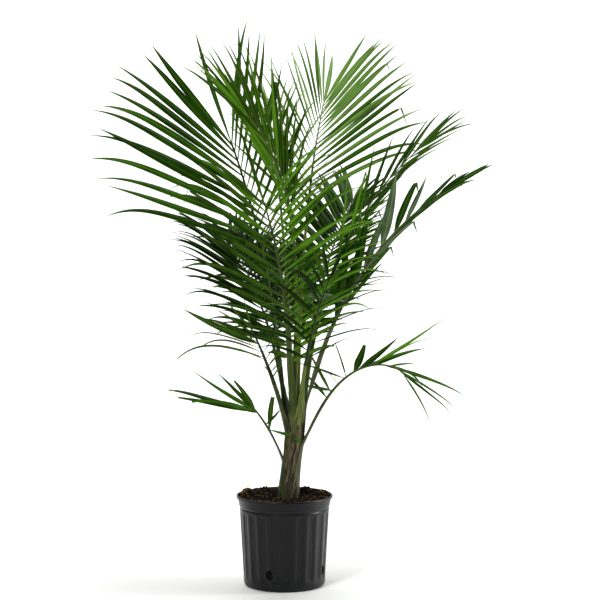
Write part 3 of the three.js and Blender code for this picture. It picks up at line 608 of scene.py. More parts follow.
def leaf_material(name, light_hex, dark_hex, rib_hex, roughness, vein_depth, gloss):
    """Waxy leaf skin: cloudy patches of two greens, a pale midrib, and fine veins as relief."""
    material, tree, shader = new_material(
        name, Roughness=roughness, IOR=LEAF_IOR, Specular_IOR_Level=gloss)
    place = add_node(tree, "ShaderNodeTexCoord")
    patches = add_node(tree, "ShaderNodeTexNoise", {
        "Vector": place.outputs["Object"], "Scale": MOTTLE_PER_METRE, "Detail": 5.0})
    spread = add_node(tree, "ShaderNodeMapRange", {
        "Value": patches.outputs["Fac"], "From Min": 0.35, "From Max": 0.65})
    green = add_node(tree, "ShaderNodeMix", {
        FACTOR: spread.outputs["Result"], FIRST: dark_hex, SECOND: light_hex}, data_type="RGBA")
    skin = add_node(tree, "ShaderNodeMix", {
        FACTOR: pale_mask(tree, place), FIRST: green.outputs[MIXED], SECOND: rib_hex},
        data_type="RGBA")
    tree.links.new(skin.outputs[MIXED], shader.inputs["Base Color"])
    veins = add_node(tree, "ShaderNodeTexWave", {
        "Vector": place.outputs["UV"], "Scale": WAVE_PERIOD / VEIN_SPACING, "Distortion": 0.4},
        bands_direction="X")
    relief = add_node(tree, "ShaderNodeBump", {
        "Height": veins.outputs["Fac"], "Strength": 0.5, "Distance": vein_depth * MM})
    tree.links.new(relief.outputs["Normal"], shader.inputs["Normal"])
    return material


print("veins every", VEIN_SPACING / MM, "mm")

# %% Greens of the leaflets
LEAF_FINISHES = {
    # Its material's name, light, dark and midrib colour, roughness, depth of veins in mm, gloss.
    # Upper faces: a thin wax that looks half matt. It is deep green on a mature leaflet and
    # yellow-green on a new one, which is how the eye tells the fronds apart. The darkest green is
    # painted shade, for the fronds inside the crown that the leaves above them shade.
    "dark": ("leaf_skin_green_painted_shade", "#132b02", "#091a01", "#263d10", 0.40, 0.10, 0.03),
    "deep": ("leaf_skin_deep_green", "#254806", "#122d02", "#3c5c1a", 0.40, 0.10, 0.04),
    "mid": ("leaf_skin_mid_green", "#33630a", "#1f4403", "#547625", 0.40, 0.10, 0.05),
    "bright": ("leaf_skin_fresh_green", "#559110", "#366906", "#7da236", 0.42, 0.10, 0.07),
    "pale": ("leaf_skin_pale_green", "#69943e", "#4d7528", "#84a058", 0.44, 0.12, 0.1),
    # Undersides are dull and look the same from everywhere, because their wax is matt.
    "under": ("leaf_underside_grey_green", "#35570f", "#203d09", "#566f30", 0.60, 0.16, 0.03),
    "under_bright": ("leaf_underside_fresh", "#4f8214", "#356208", "#74983a", 0.58, 0.16, 0.05),
    # Where the blade of an old frond turns away, its grey is partly the thick bloom of its wax and
    # partly a painted sheen: the grey reflection that such a turned blade shows.
    "ash": ("leaf_skin_grey_bloom_and_painted_sheen", "#5d7350", "#405638", "#75895c", 0.60, 0.16, 0.06),
    # Old leaflets dry from the tip, and straw has no wax and no sheen.
    "dry": ("leaf_tip_dried_straw", "#857446", "#5e5230", "#8c7d50", 0.75, 0.16, 0.1),
}
LEAF = {key: leaf_material(*finish) for key, finish in LEAF_FINISHES.items()}
LEAF_ORDER = list(LEAF)
print("leaf finishes:", ", ".join(LEAF_ORDER))

# %% Palettes of the fronds
# How often each green comes on a frond's leaflets, and the underside that goes with it.
PALETTES = {
    "hazy": (("pale", 0.9), ("mid", 0.1)),
    # The dark palette is painted shade, for the fronds inside the crown.
    "dark": (("dark", 0.75), ("deep", 0.25)),
    "deep": (("deep", 0.65), ("mid", 0.35)),
    "mid": (("mid", 0.5), ("deep", 0.4), ("bright", 0.1)),
    "bright": (("bright", 0.4), ("mid", 0.45), ("deep", 0.15)),
    "fresh": (("bright", 0.9), ("mid", 0.1)),
    "pale": (("pale", 0.7), ("mid", 0.3)),
    # The ash in the grey palette is partly painted sheen on the old frond's leaflets.
    "grey": (("ash", 0.35), ("deep", 0.4), ("mid", 0.25)),
}
# Dark leaflets keep the same painted shade on their undersides.
UNDERSIDES = {"dark": "dark", "deep": "under", "mid": "under", "bright": "under_bright",
              "pale": "under", "ash": "ash"}
print("palettes:", ", ".join(PALETTES))

# %% [markdown]
# ## Leaflets
# A palm leaflet is a long strip folded once along its middle, like a shallow roof. It leaves the
# rib through a narrow root, is widest about a third of the way along and ends in a whip that sags
# and twists. It could be a flat card with a picture on it, but the fold and the sag are what catch
# the light, so each leaflet is a thin closed shell swept along its own curve. The curve is the one
# that the frame's solids follow. Only the last third is freer, as the real tip is.

# %% The outline of a leaflet
ROOT_SHARE = 0.22
ROOT_POWER = 1.2


def blade_width(v, taper, widest_at):
    """The width of a leaflet at share v of its length, 1 where it is widest."""
    swell = np.sin(0.5 * math.pi * np.clip(v / widest_at, 0, 1)) ** ROOT_POWER
    fall = 1 - np.clip((v - widest_at) / (1 - widest_at), 0, 1) ** taper
    return (ROOT_SHARE + (1 - ROOT_SHARE) * swell) * fall


print("width at the root and halfway:", ROOT_SHARE,
      round(blade_width(0.5, USUAL["taper"], USUAL["widest_at"]), 2))

# %% Where a leaflet leaves the rib


def leaflet_start(frond, plan):
    """Its root, its first direction and the direction across it."""
    bare = frond["bare"] / frond["length"]
    u = bare + (1 - bare) * plan["along"]
    forward, side, face = frond_frame(frond, u, plan["along"])
    sweep = math.radians(plan["sweep"])
    lift = math.radians(plan["lift"])
    outward = side * plan["side"] * math.cos(lift) + face * math.sin(lift)
    start = forward * math.cos(sweep) + outward * math.sin(sweep)
    across = unit(np.cross(face, start))
    turn = math.radians(plan["turn"])
    across = across * math.cos(turn) + np.cross(start, across) * math.sin(turn)
    return point_at(LINES[frond["name"]], u), start, across


tall = FRONDS[0]
print("the first leaflet starts at, mm:", leaflet_start(tall, PLANS[tall["name"]][0])[0].round())

# %% The section of a leaflet
RING_SHARES = (1, 0.66, 0.33, 0, -0.33, -0.66, -1)
UNDER_SHARES = RING_SHARES[-2:0:-1]
# The roof is steep at the root and flatter at the tip, and a pleat runs along each half.
FOLD_AT_ROOT = 36
FOLD_AT_TIP = 16
ROOF_RISE = 0.6
ROOF_POWER = 1.15
PLEAT_SHARE = 0.66
PLEAT_DEPTH = 0.25
BLADE_THICKNESS = 0.5
EDGE_THICKNESS = 0.15
TIP_THINNING = 0.3


def blade_section(centre, flat, ridge, half, v):
    """One ring of points: across the upper face, and back along the underside."""
    rise = half * math.tan(math.radians(mix(FOLD_AT_ROOT, FOLD_AT_TIP, v)))
    top = {share: rise * (ROOF_RISE - abs(share) ** ROOF_POWER)
           + (PLEAT_DEPTH if abs(share) == PLEAT_SHARE else 0) for share in RING_SHARES}
    ring = [centre + flat * half * share + ridge * top[share] for share in RING_SHARES]
    for share in UNDER_SHARES:
        thick = mix(BLADE_THICKNESS, EDGE_THICKNESS, abs(share)) * mix(1, TIP_THINNING, v)
        ring.append(centre + flat * half * share + ridge * (top[share] - thick))
    return ring


print("points in a section:", len(RING_SHARES + UNDER_SHARES))

# %% What is left to chance in a leaflet
WHIP = 0.7
WHIP_WHEN_STIFF = 0.5
SWAY = 0.2
TIP_TURN = 35
WIDTH_SPREAD = 0.2
# A bent leaflet hangs from a kink between these shares of its length. The last ones aren't bent.
KINK_FIRST = 0.74
KINK_LAST = 0.9
NO_KINK = 2
LAST_LEAFLETS = 0.8
TORN_AT = 0.82
# Shorter ones on the lowest fronds are the stubs of torn leaflets.
STUB_LENGTH = 105


def leaflet_chance(frond, plan, draw):
    """Its whip, sway and turn at the tip, its kink, its width, and the share left of its length."""
    whip = WHIP * draw() ** 2 * (WHIP_WHEN_STIFF + plan["droop"])
    sway = SWAY * (2 * draw() - 1)
    twist = math.radians(TIP_TURN) * (2 * draw() - 1)
    bent = draw() < frond["kinked"] and plan["turn"] == 0 and plan["along"] < LAST_LEAFLETS
    kink_at = mix(KINK_FIRST, KINK_LAST, draw()) if bent else NO_KINK
    width = plan["width"] * (1 - WIDTH_SPREAD + WIDTH_SPREAD * draw()) * frond["slimmer"]
    left = TORN_AT if frond["torn"] and draw() < frond["torn"] else 1
    if frond["stub"] and plan["length"] < STUB_LENGTH and plan["along"] < LAST_LEAFLETS:
        left, wider = frond["stub"]
        width *= wider
    return whip, sway, twist, kink_at, width, left


print("a tip turns by up to", TIP_TURN, "degrees")

# %% One leaflet, from root to tip
LEAF_STEPS = 28
SAG_FROM = 0.55
TURN_POWER = 1.5
KINK_HANG = 0.75
NEAR_TIP = 0.995


def leaflet_rings(frond, plan, draw):
    """Its rings of points, and the mark of each point on the unrolled blade."""
    centre, start, across = leaflet_start(frond, plan)
    whip, sway, twist, kink_at, width, left = leaflet_chance(frond, plan, draw)
    rings, marks = [], []
    for k in range(LEAF_STEPS + 1):
        v = k / LEAF_STEPS
        sag = max(0.0, (v - SAG_FROM) / (1 - SAG_FROM)) ** 2
        forward = unit(start - UP * (plan["droop"] * v ** DROOP_POWER + whip * sag)
                       + across * sway * v ** 2)
        if v > kink_at:
            forward = unit(forward * (1 - KINK_HANG) - UP * KINK_HANG)
        flat = unit(across - forward * across.dot(forward))
        ridge = np.cross(forward, flat)
        turn = twist * v ** TURN_POWER
        flat, ridge = (flat * math.cos(turn) + ridge * math.sin(turn),
                       ridge * math.cos(turn) - flat * math.sin(turn))
        shown = blade_width(min(v * left, NEAR_TIP), frond["taper"], frond["widest_at"])
        half = 0.5 * width * shown
        rings.append(blade_section(centre, flat, ridge, half, v))
        marks += [(half * share * MM, v * plan["length"] * MM)
                  for share in RING_SHARES + UNDER_SHARES]
        centre = centre + forward * plan["length"] / LEAF_STEPS
    return np.array(rings), marks


print("rings in a leaflet:", LEAF_STEPS + 1)

# %% Faces between rings, and a pick by share


def shell_faces(start, rings, around):
    """Faces between rings of points, and one to close each end."""
    faces = []
    for r in range(rings - 1):
        a = start + r * around
        for i in range(around):
            j = (i + 1) % around
            faces.append((a + i, a + j, a + around + j, a + around + i))
    faces.append(tuple(range(start + around - 1, start - 1, -1)))
    last = start + (rings - 1) * around
    faces.append(tuple(range(last, last + around)))
    return faces


def pick(palette, value):
    """The name in a palette that a draw between 0 and 1 falls on."""
    for name, share in palette:
        value -= share
        if value < 0:
            return name
    return palette[-1][0]


print("a mid palette gives", pick(PALETTES["mid"], 0.2), "for 0.2 and", pick(PALETTES["mid"], 0.95),
      "for 0.95")

# %% All leaflets of a frond as one piece
LEAF_DRAWS = 1000
DRY_TIP_SHARE = 0.06
DRY_TIP_STEPS = 3
LEAF_CREASE = 22


def make_leaflets(frond):
    """The leaflets are one mesh, so the frond is one thing to move, but each has its own greens."""
    draw = seeded(frond["seed"] + LEAF_DRAWS)
    points, marks, faces, finishes = [], [], [], []
    for plan in PLANS[frond["name"]]:
        rings, leaf_marks = leaflet_rings(frond, plan, draw)
        upper = pick(PALETTES[plan.get("green", frond["green"])], draw())
        dry_steps = 1 + int(DRY_TIP_STEPS * draw()) if draw() < DRY_TIP_SHARE else 0
        faces += shell_faces(len(points), len(rings), len(rings[0]))
        for r in range(LEAF_STEPS):
            for green in (upper, UNDERSIDES[upper]):
                finish = "dry" if r >= LEAF_STEPS - dry_steps else green
                finishes += [LEAF_ORDER.index(finish)] * (len(RING_SHARES) - 1)
        finishes += [LEAF_ORDER.index(upper)] * 2
        points += rings.reshape(-1, 3).tolist()
        marks += leaf_marks
    piece = mesh_object("leaflets_" + frond["name"], np.array(points) * MM, faces,
                        [LEAF[name] for name in LEAF_ORDER], finishes, LEAF_CREASE, marks)
    return finish_piece(piece, "leaf", "frond_" + frond["name"])


for frond in FRONDS:
    make_leaflets(frond)

# %% [markdown]
# ## Stalks and ribs
# The stalk of a palm leaf starts as a sheath that wraps the trunk. It narrows into a firm stalk
# with a groove down its upper side, and runs on as the rib between the leaflets. One sweep makes
# all three: its section is a strip bent round the trunk low down, and a grooved ellipse further
# up. A curve with a bevel would be quicker, but it keeps one section all the way. Every sheath
# runs down into the soil under or over its neighbours, and their edges are the long seams of the
# trunk. The sheaths are dull brown at the foot and turn green as they rise.

# %% Dark seams between the sheaths
SEAM_FADE = 70
SEAM_BROWN = "#1c0f0b"


def seam_mask(tree, place, unrolled):
    """Near 1 along the two edges of a sheath on the trunk, and 0 on the free stalk."""
    # The first coordinate runs once round the section, and a sheath's two edges are at 0 and 0.5.
    turned = add_node(tree, "ShaderNodeMath", {0: unrolled.outputs["X"], 1: 4 * math.pi},
                      operation="MULTIPLY")
    round_it = add_node(tree, "ShaderNodeMath", {0: turned.outputs["Value"]}, operation="COSINE")
    edge = add_node(tree, "ShaderNodeMapRange", {
        "Value": round_it.outputs["Value"], "From Min": 0.55, "From Max": 0.95, "To Max": 0.9})
    spot = add_node(tree, "ShaderNodeSeparateXYZ", {"Vector": place.outputs["Object"]})
    low_down = add_node(tree, "ShaderNodeMapRange", {
        "Value": spot.outputs["Z"], "From Min": TRUNK["fork"] * MM,
        "From Max": (TRUNK["fork"] + SEAM_FADE) * MM, "To Min": 1.0, "To Max": 0.0})
    seam = add_node(tree, "ShaderNodeMath", {
        0: edge.outputs["Result"], 1: low_down.outputs["Result"]}, operation="MULTIPLY")
    return seam.outputs["Value"]


print("seams fade out", SEAM_FADE, "mm above the fork")

# %% Stalk skin
STALK_IOR = 1.45
STALK_GLOSS = 0.2
# Once round the section counts as 60 mm, and the streaks are drawn out along the stalk.
STREAK_STRETCH = (60 * MM, 0.05, 1)
# Streaks are 2.4 mm wide and blots 8 mm. The real fibres are finer than a pixel, so coarser here.
STREAKS_PER_METRE = 420.0
BLOTS_PER_METRE = 130.0
STREAK_DEPTH = 0.7 * MM
BROWN_FADE = 90 * MM
SHEATH_BROWN = "#675e43"
SHEATH_DARK_BROWN = "#21160f"


def stalk_material(name, light_hex, dark_hex, roughness):
    """Smooth green skin with long streaks, brown and fibrous towards the foot of the sheath."""
    material, tree, shader = new_material(
        name, Roughness=roughness, IOR=STALK_IOR, Specular_IOR_Level=STALK_GLOSS)
    place = add_node(tree, "ShaderNodeTexCoord")
    unrolled = add_node(tree, "ShaderNodeSeparateXYZ", {"Vector": place.outputs["UV"]})
    stretched = add_node(tree, "ShaderNodeMapping", {
        "Vector": place.outputs["UV"], "Scale": STREAK_STRETCH})
    streaks = add_node(tree, "ShaderNodeTexNoise", {
        "Vector": stretched.outputs["Vector"], "Scale": STREAKS_PER_METRE, "Detail": 6.0})
    blots = add_node(tree, "ShaderNodeTexNoise", {
        "Vector": stretched.outputs["Vector"], "Scale": BLOTS_PER_METRE, "Detail": 4.0})
    contrast = add_node(tree, "ShaderNodeMapRange", {
        "Value": streaks.outputs["Fac"], "From Min": 0.4, "From Max": 0.6})
    green = add_node(tree, "ShaderNodeMix", {
        FACTOR: contrast.outputs["Result"], FIRST: dark_hex, SECOND: light_hex}, data_type="RGBA")
    brown = add_node(tree, "ShaderNodeMix", {
        FACTOR: contrast.outputs["Result"], FIRST: SHEATH_DARK_BROWN, SECOND: SHEATH_BROWN},
        data_type="RGBA")
    # Blots make the border between brown and green ragged.
    ragged = add_node(tree, "ShaderNodeMath", {
        0: blots.outputs["Fac"], 1: 2.4 * BROWN_FADE, 2: unrolled.outputs["Y"]},
        operation="MULTIPLY_ADD")
    height = add_node(tree, "ShaderNodeMapRange", {
        "Value": ragged.outputs["Value"], "From Min": 0.8 * BROWN_FADE,
        "From Max": 1.8 * BROWN_FADE})
    skin = add_node(tree, "ShaderNodeMix", {
        FACTOR: height.outputs["Result"], FIRST: brown.outputs[MIXED],
        SECOND: green.outputs[MIXED]}, data_type="RGBA")
    seamed = add_node(tree, "ShaderNodeMix", {
        FACTOR: seam_mask(tree, place, unrolled), FIRST: skin.outputs[MIXED],
        SECOND: SEAM_BROWN}, data_type="RGBA")
    tree.links.new(seamed.outputs[MIXED], shader.inputs["Base Color"])
    relief = add_node(tree, "ShaderNodeBump", {
        "Height": streaks.outputs["Fac"], "Strength": 0.5, "Distance": STREAK_DEPTH})
    tree.links.new(relief.outputs["Normal"], shader.inputs["Normal"])
    return material


print("the brown of a sheath fades over", BROWN_FADE / MM, "mm")

# %% Greens of the stalks
STALK = {
    # A half matt wax over green tissue: the eye sees soft long highlights, and darker older stalks.
    "dark": stalk_material("stalk_skin_dark_olive", "#28360f", "#121a06", 0.45),
    "deep": stalk_material("stalk_skin_olive", "#3c4b1e", "#1f2910", 0.45),
    "mid": stalk_material("stalk_skin_green", "#4a5f26", "#2c3b16", 0.45),
    # A young stalk has more yellow in it, and thicker wax makes one greyer and duller.
    "bright": stalk_material("stalk_skin_yellow_green", "#6d7a34", "#475422", 0.45),
    "grey": stalk_material("stalk_skin_grey_green", "#6a7050", "#40472f", 0.48),
}
# The green of a rib goes with that of its leaflets.
STALK_OF = {"dark": "dark", "deep": "dark", "mid": "mid", "bright": "mid", "pale": "mid",
            "hazy": "mid", "grey": "grey"}
print("stalk finishes:", ", ".join(STALK))

# %% The section of a free stalk
STALK_SIDES = 20
SECTION_ANGLES = [2 * math.pi * i / STALK_SIDES for i in range(STALK_SIDES)]
STALK_FLARE = 0.7
STALK_FLARE_HEIGHT = 260
GROOVE = 0.28
GROOVE_DEGREES = 42


def stalk_radius(frond, u):
    """Half the thickness of stalk and rib, as in the frame, with a finer tip."""
    bare = frond["bare"] / frond["length"]
    seat_radius, blade_radius = frond["stalk"]
    if u < bare:
        return mix(seat_radius, blade_radius, max(u, 0) / bare)
    return mix(blade_radius, frond["tip_radius"], (u - bare) / (1 - bare))


def round_ring(frond, u):
    """A section that is broader near the trunk, with a groove on its upper side."""
    centre = point_at(LINES[frond["name"]], u)
    _, side, face = frond_frame(frond, u, 0)
    radius = stalk_radius(frond, u)
    flare = STALK_FLARE * math.exp(-((u * frond["length"] / STALK_FLARE_HEIGHT) ** 2))
    broad = radius * (1 + flare)
    ring = []
    for angle in SECTION_ANGLES:
        turn = angle - math.pi / 2
        from_top = math.degrees(math.atan2(math.sin(turn), math.cos(turn)))
        groove = 1 - GROOVE * math.exp(-((from_top / GROOVE_DEGREES) ** 2))
        ring.append(centre + side * broad * math.cos(angle)
                    + face * radius * math.sin(angle) * groove)
    return np.array(ring)


print("the groove takes", round(100 * GROOVE), "% of the stalk's radius")

# %% How far out a sheath lies, and how wide it is
SHEATH_ABOVE = 170
SHEATH_NARROWS = 80
NARROWING_POWER = 1.3
SHEATH_HALF_WIDTH = 25
SHEATH_HALF_THICKNESS = 1.7
STALK_THICKNESS = 0.9
# The core lies this far inside the skin of the frame's trunk. The sheaths over it fill the rest.
CORE_INSET = 2.2
FOOT_INSET = 0.4
# This far below its seat, a sheath has the width of its foot.
WIDENED_WITHIN = 100


def foot_inset(z):
    """The trunk is drawn in a little at its foot, to leave room for the layers of sheaths."""
    return FOOT_INSET * math.exp(-(((z - TRUNK["foot"]) / TRUNK["flare_height"]) ** 2))


def sheath_reach(frond, distance, centre, axis):
    """How far a sheath lies out from the trunk's axis. Below its seat it lies on the trunk."""
    height = centre[2]
    if distance < 0:
        return trunk_radius(height) - CORE_INSET - foot_inset(height) + frond["layer"]
    on_trunk = trunk_radius(min(height, TRUNK["fork"])) - CORE_INSET + frond["layer"]
    return max(float(np.hypot(*(centre - axis)[:2])), on_trunk)


def sheath_widths(frond, distance):
    """Half the width and half the thickness of the strip."""
    radius = stalk_radius(frond, max(distance, 0) / frond["length"])
    widened = float(smooth(-distance / WIDENED_WITHIN))
    spread = mix(SHEATH_HALF_WIDTH, frond["foot_half_width"], widened)
    narrow = radius * (1 + STALK_FLARE)
    wrapped = math.exp(-((max(distance, 0) / SHEATH_NARROWS) ** NARROWING_POWER))
    free = float(smooth(distance / SHEATH_ABOVE))
    return (narrow + (spread - narrow) * wrapped,
            mix(SHEATH_HALF_THICKNESS, radius * STALK_THICKNESS, free))


print("a sheath is", 2 * SHEATH_HALF_THICKNESS, "mm thick and", 2 * SHEATH_HALF_WIDTH, "mm wide")

# %% The section of a sheath
# This far below its seat, a sheath has turned round the trunk to where its foot is.
TURNED_WITHIN = 75
# Its edge wanders in two waves, each given as a height and a rate per millimetre.
EDGE_WAVE = (1.6, 0.21)
EDGE_RIPPLE = (0.8, 0.55)


def wrapped_ring(frond, distance):
    """A strip bent round the trunk, at a distance along the stalk from its seat."""
    turned = frond["foot_turn"] * float(smooth(-distance / TURNED_WITHIN))
    bearing = math.radians(frond["seat"][0] + turned)
    centre = point_at(LINES[frond["name"]], max(distance, 0) / frond["length"])
    centre = centre + UP * min(distance, 0)
    axis = np.array([trunk_x(centre[2]), 0, centre[2]])
    reach = sheath_reach(frond, distance, centre, axis)
    half_width, half_thick = sheath_widths(frond, distance)
    edge = (EDGE_WAVE[0] * math.sin(distance * EDGE_WAVE[1] + frond["seed"])
            + EDGE_RIPPLE[0] * math.sin(distance * EDGE_RIPPLE[1]))
    ring = []
    for angle in SECTION_ANGLES:
        turn = bearing + (math.cos(angle) * half_width + edge * math.cos(angle) ** 2) / reach
        radius = reach - math.sin(angle) * half_thick
        ring.append(axis + np.array([radius * math.cos(turn), radius * math.sin(turn), 0]))
    return np.array(ring)


print("the lowest sheath at its seat starts at, mm:", wrapped_ring(FRONDS[8], 0)[0].round())

# %% One sweep for each frond
STALK_SPACING = 6
STALK_CREASE = 50
# Sheaths end just under the soil, and start to come free of the trunk this far above their seat.
SHEATH_FOOT = 205
FREE_FROM = 25
# A stalk seated closer to the axis than this comes up inside the others, without a sheath.
CENTRAL_SEAT = 10


def make_stalk(frond):
    """Sheath, stalk and rib of one frond as one closed sweep."""
    central = frond["seat"][1] < CENTRAL_SEAT and len(frond["seat"]) == 2
    low = 0 if central else SHEATH_FOOT - seat_point(frond)[2]
    steps = int((frond["length"] - low) / STALK_SPACING)
    rings, marks = [], []
    for k in range(steps + 1):
        distance = mix(low, frond["length"], k / steps)
        free = 1.0 if central else float(smooth((distance - FREE_FROM) / SHEATH_ABOVE))
        ring = round_ring(frond, max(distance, 0) / frond["length"])
        if free < 1:
            ring = mix(wrapped_ring(frond, distance), ring, free)
        rings.append(ring)
        # A whole number added to the first mark gives each stalk its own part of the pattern.
        marks += [(frond["seed"] + i / STALK_SIDES, (distance - frond["brown_above"]) * MM)
                  for i in range(STALK_SIDES)]
    # The rib between the leaflets has the green of its frond, and the bare stalk can differ.
    rib_skin = STALK_OF[frond["green"]]
    skins = [STALK[frond["skin"] or rib_skin], STALK[rib_skin]]
    rib_from = int(steps * (frond["bare"] - low) / (frond["length"] - low))
    finishes = [int(k >= rib_from) for k in range(steps) for _ in range(STALK_SIDES)] + [0, 1]
    piece = mesh_object("stalk_" + frond["name"], np.concatenate(rings) * MM,
                        shell_faces(0, len(rings), STALK_SIDES), skins, finishes,
                        STALK_CREASE, marks)
    return finish_piece(piece, "stalk", "petiole_" + frond["name"])


for frond in FRONDS:
    make_stalk(frond)

# %% [markdown]
# ## Trunk
# What looks like the trunk of a young palm is a roll of sheaths. Under the outer ones, which came
# with the stalks above, the core is a closed column whose surface is a grid of angle and height.
# Torn remains of older sheaths are steps in its radius with ragged, slanting edges, and fine
# fibres run up it. The remains stand out most at the foot, where the oldest leaves were. It could
# be sculpted, but then a change of the trunk's lean would mean sculpting it again.

# %% Bark
BARK_STRETCH = (1, 1, 0.06)
# Fibres are 1.7 mm wide, coarser than real ones so that they still show, and blots 11 mm.
BARK_FIBRES_PER_METRE = 600.0
BARK_BLOTS_PER_METRE = 90.0
BARK_BROWN = "#5b4f38"
BARK_DARK_BROWN = "#1d140e"
BARK_GREEN = "#3f4427"
BARK_DEPTH = 0.7 * MM


def bark_material():
    """Fibrous skin of dead sheaths, torn and dried: dull and furrowed, with no highlight at all."""
    material, tree, shader = new_material("old_sheath_fibre", Roughness=0.8, Specular_IOR_Level=0.2)
    place = add_node(tree, "ShaderNodeTexCoord")
    stretched = add_node(tree, "ShaderNodeMapping", {
        "Vector": place.outputs["Object"], "Scale": BARK_STRETCH})
    fibres = add_node(tree, "ShaderNodeTexNoise", {
        "Vector": stretched.outputs["Vector"], "Scale": BARK_FIBRES_PER_METRE, "Detail": 8.0})
    contrast = add_node(tree, "ShaderNodeMapRange", {
        "Value": fibres.outputs["Fac"], "From Min": 0.35, "From Max": 0.65})
    blots = add_node(tree, "ShaderNodeTexNoise", {
        "Vector": stretched.outputs["Vector"], "Scale": BARK_BLOTS_PER_METRE, "Detail": 3.0})
    still_green = add_node(tree, "ShaderNodeMapRange", {
        "Value": blots.outputs["Fac"], "From Min": 0.45, "From Max": 0.7, "To Max": 0.6})
    brown = add_node(tree, "ShaderNodeMix", {
        FACTOR: contrast.outputs["Result"], FIRST: BARK_DARK_BROWN, SECOND: BARK_BROWN},
        data_type="RGBA")
    skin = add_node(tree, "ShaderNodeMix", {
        FACTOR: still_green.outputs["Result"], FIRST: brown.outputs[MIXED], SECOND: BARK_GREEN},
        data_type="RGBA")
    tree.links.new(skin.outputs[MIXED], shader.inputs["Base Color"])
    relief = add_node(tree, "ShaderNodeBump", {
        "Height": fibres.outputs["Fac"], "Strength": 0.6, "Distance": BARK_DEPTH})
    tree.links.new(relief.outputs["Normal"], shader.inputs["Normal"])
    return material


BARK_SKIN = bark_material()
print("bark:", BARK_SKIN.name)

# %% Remains of old sheaths
OLD_SHEATHS = (
    # bearing, half width in degrees, top height, thickness
    (262, 42, 262, 4.4),
    (20, 55, 250, 4.0),
    (150, 70, 258, 4.2),
    (312, 38, 238, 4.6),
    (80, 60, 244, 4.2),
    (215, 35, 232, 4.8),
)
# Below its top a remain widens over this height, and its edge is this many degrees soft.
OLD_SLOPE = 50
OLD_EDGE = 5
OLD_EDGE_WAVE = (2.0, 0.9)


def old_sheath(bearing, z):
    """How far the torn remains of old sheaths stand out here."""
    cover = 0.0
    for centre, half, top, thick in OLD_SHEATHS:
        if z < top:
            away = abs((bearing - centre + 180) % 360 - 180)
            reach = half * math.sqrt((top - z) / OLD_SLOPE)
            ragged = reach + OLD_EDGE_WAVE[0] * math.sin(z * OLD_EDGE_WAVE[1] + centre)
            cover = max(cover, thick * float(smooth((ragged - away) / OLD_EDGE)))
    return cover


print("remains at the front of the foot stand out", old_sheath(270, TRUNK["foot"]), "mm")

# %% Trunk core
CORE_SEED = 7
CORE_AROUND = 220
CORE_UP = 150
CORE_BELOW = 6
CORE_ABOVE = 3
CORE_ROUNDING = 5
CORE_ROUND_RUN = 8.5
CORE_CREASE = 60
FIBRE_WINDOW = 9
FIBRE_LIMIT = 2
FIBRE_RELIEF = 0.16
SURFACE_RELIEF = 0.05


def fibre_relief(noise):
    """A random walk round the trunk, less its own running average: fibres that run up it."""
    walk = np.cumsum(noise.normal(0, 1, CORE_AROUND))
    average = np.convolve(np.tile(walk, 3), np.ones(FIBRE_WINDOW) / FIBRE_WINDOW, "same")
    fibres = walk - average[CORE_AROUND:2 * CORE_AROUND]
    return np.clip(fibres, -FIBRE_LIMIT, FIBRE_LIMIT) * FIBRE_RELIEF


def make_trunk():
    """The column of the core: folds that wind up it, old sheaths, fibres and a rounded top."""
    noise = np.random.RandomState(CORE_SEED)
    fibres = fibre_relief(noise)
    wander = noise.normal(0, SURFACE_RELIEF, (CORE_UP + 1, CORE_AROUND))
    points = []
    for k in range(CORE_UP + 1):
        z = mix(TRUNK["foot"] - CORE_BELOW, TRUNK["fork"] + CORE_ABOVE, k / CORE_UP)
        near_top = max(0.0, (z - TRUNK["fork"] + CORE_ROUNDING) / CORE_ROUND_RUN)
        closing = math.sqrt(max(0.0, 1 - near_top ** 2))
        winding = TRUNK["fold_twist"] * (z - TRUNK["foot"])
        for i in range(CORE_AROUND):
            bearing = 360 * i / CORE_AROUND
            fold = TRUNK["fold_depth"] * math.cos(math.radians(TRUNK["folds"] * bearing - winding))
            radius = trunk_radius(z) * (1 + fold) - CORE_INSET - foot_inset(z)
            radius = (radius + old_sheath(bearing, z) + fibres[i] + wander[k, i]) * closing
            angle = math.radians(bearing)
            points.append((trunk_x(z) + radius * math.cos(angle), radius * math.sin(angle), z))
    faces = shell_faces(0, CORE_UP + 1, CORE_AROUND)
    piece = mesh_object("trunk_core", np.array(points) * MM, faces, [BARK_SKIN], None, CORE_CREASE)
    return finish_piece(piece, "trunk", "trunk")


make_trunk()

# %% [markdown]
# ## Pot
# A grower's pot is blown or moulded from black polythene, with a thin wall that long ribs stiffen.
# Its outside could be lathed, with the ribs cut in afterwards. Here one formula gives the radius at
# any bearing and height instead: a taper, panels sunk between the ribs with rounded tops, a
# stepped band and a rolled rim. The same grid is then closed inside, and a boolean cuts the holes.

# %% Pot material
POLYTHENE_IOR = 1.51
# Dust lies in patches of 45 mm and scuffs in level streaks of 17 by 2 mm. The pebbled skin has
# grains of 1.1 mm, coarser than the real 0.3 mm so that they don't flicker.
DUST_PER_METRE = 22.0
SCUFFS_PER_METRE = 60.0
SCUFF_STRETCH = (1, 1, 9)
PEBBLES_PER_METRE = 900.0
PEBBLE_DEPTH = 0.2 * MM
POLYTHENE_BLACK = "#040707"
POLYTHENE_DUSTY = "#0e1211"
POLYTHENE_SCUFFED = "#2b2c2a"


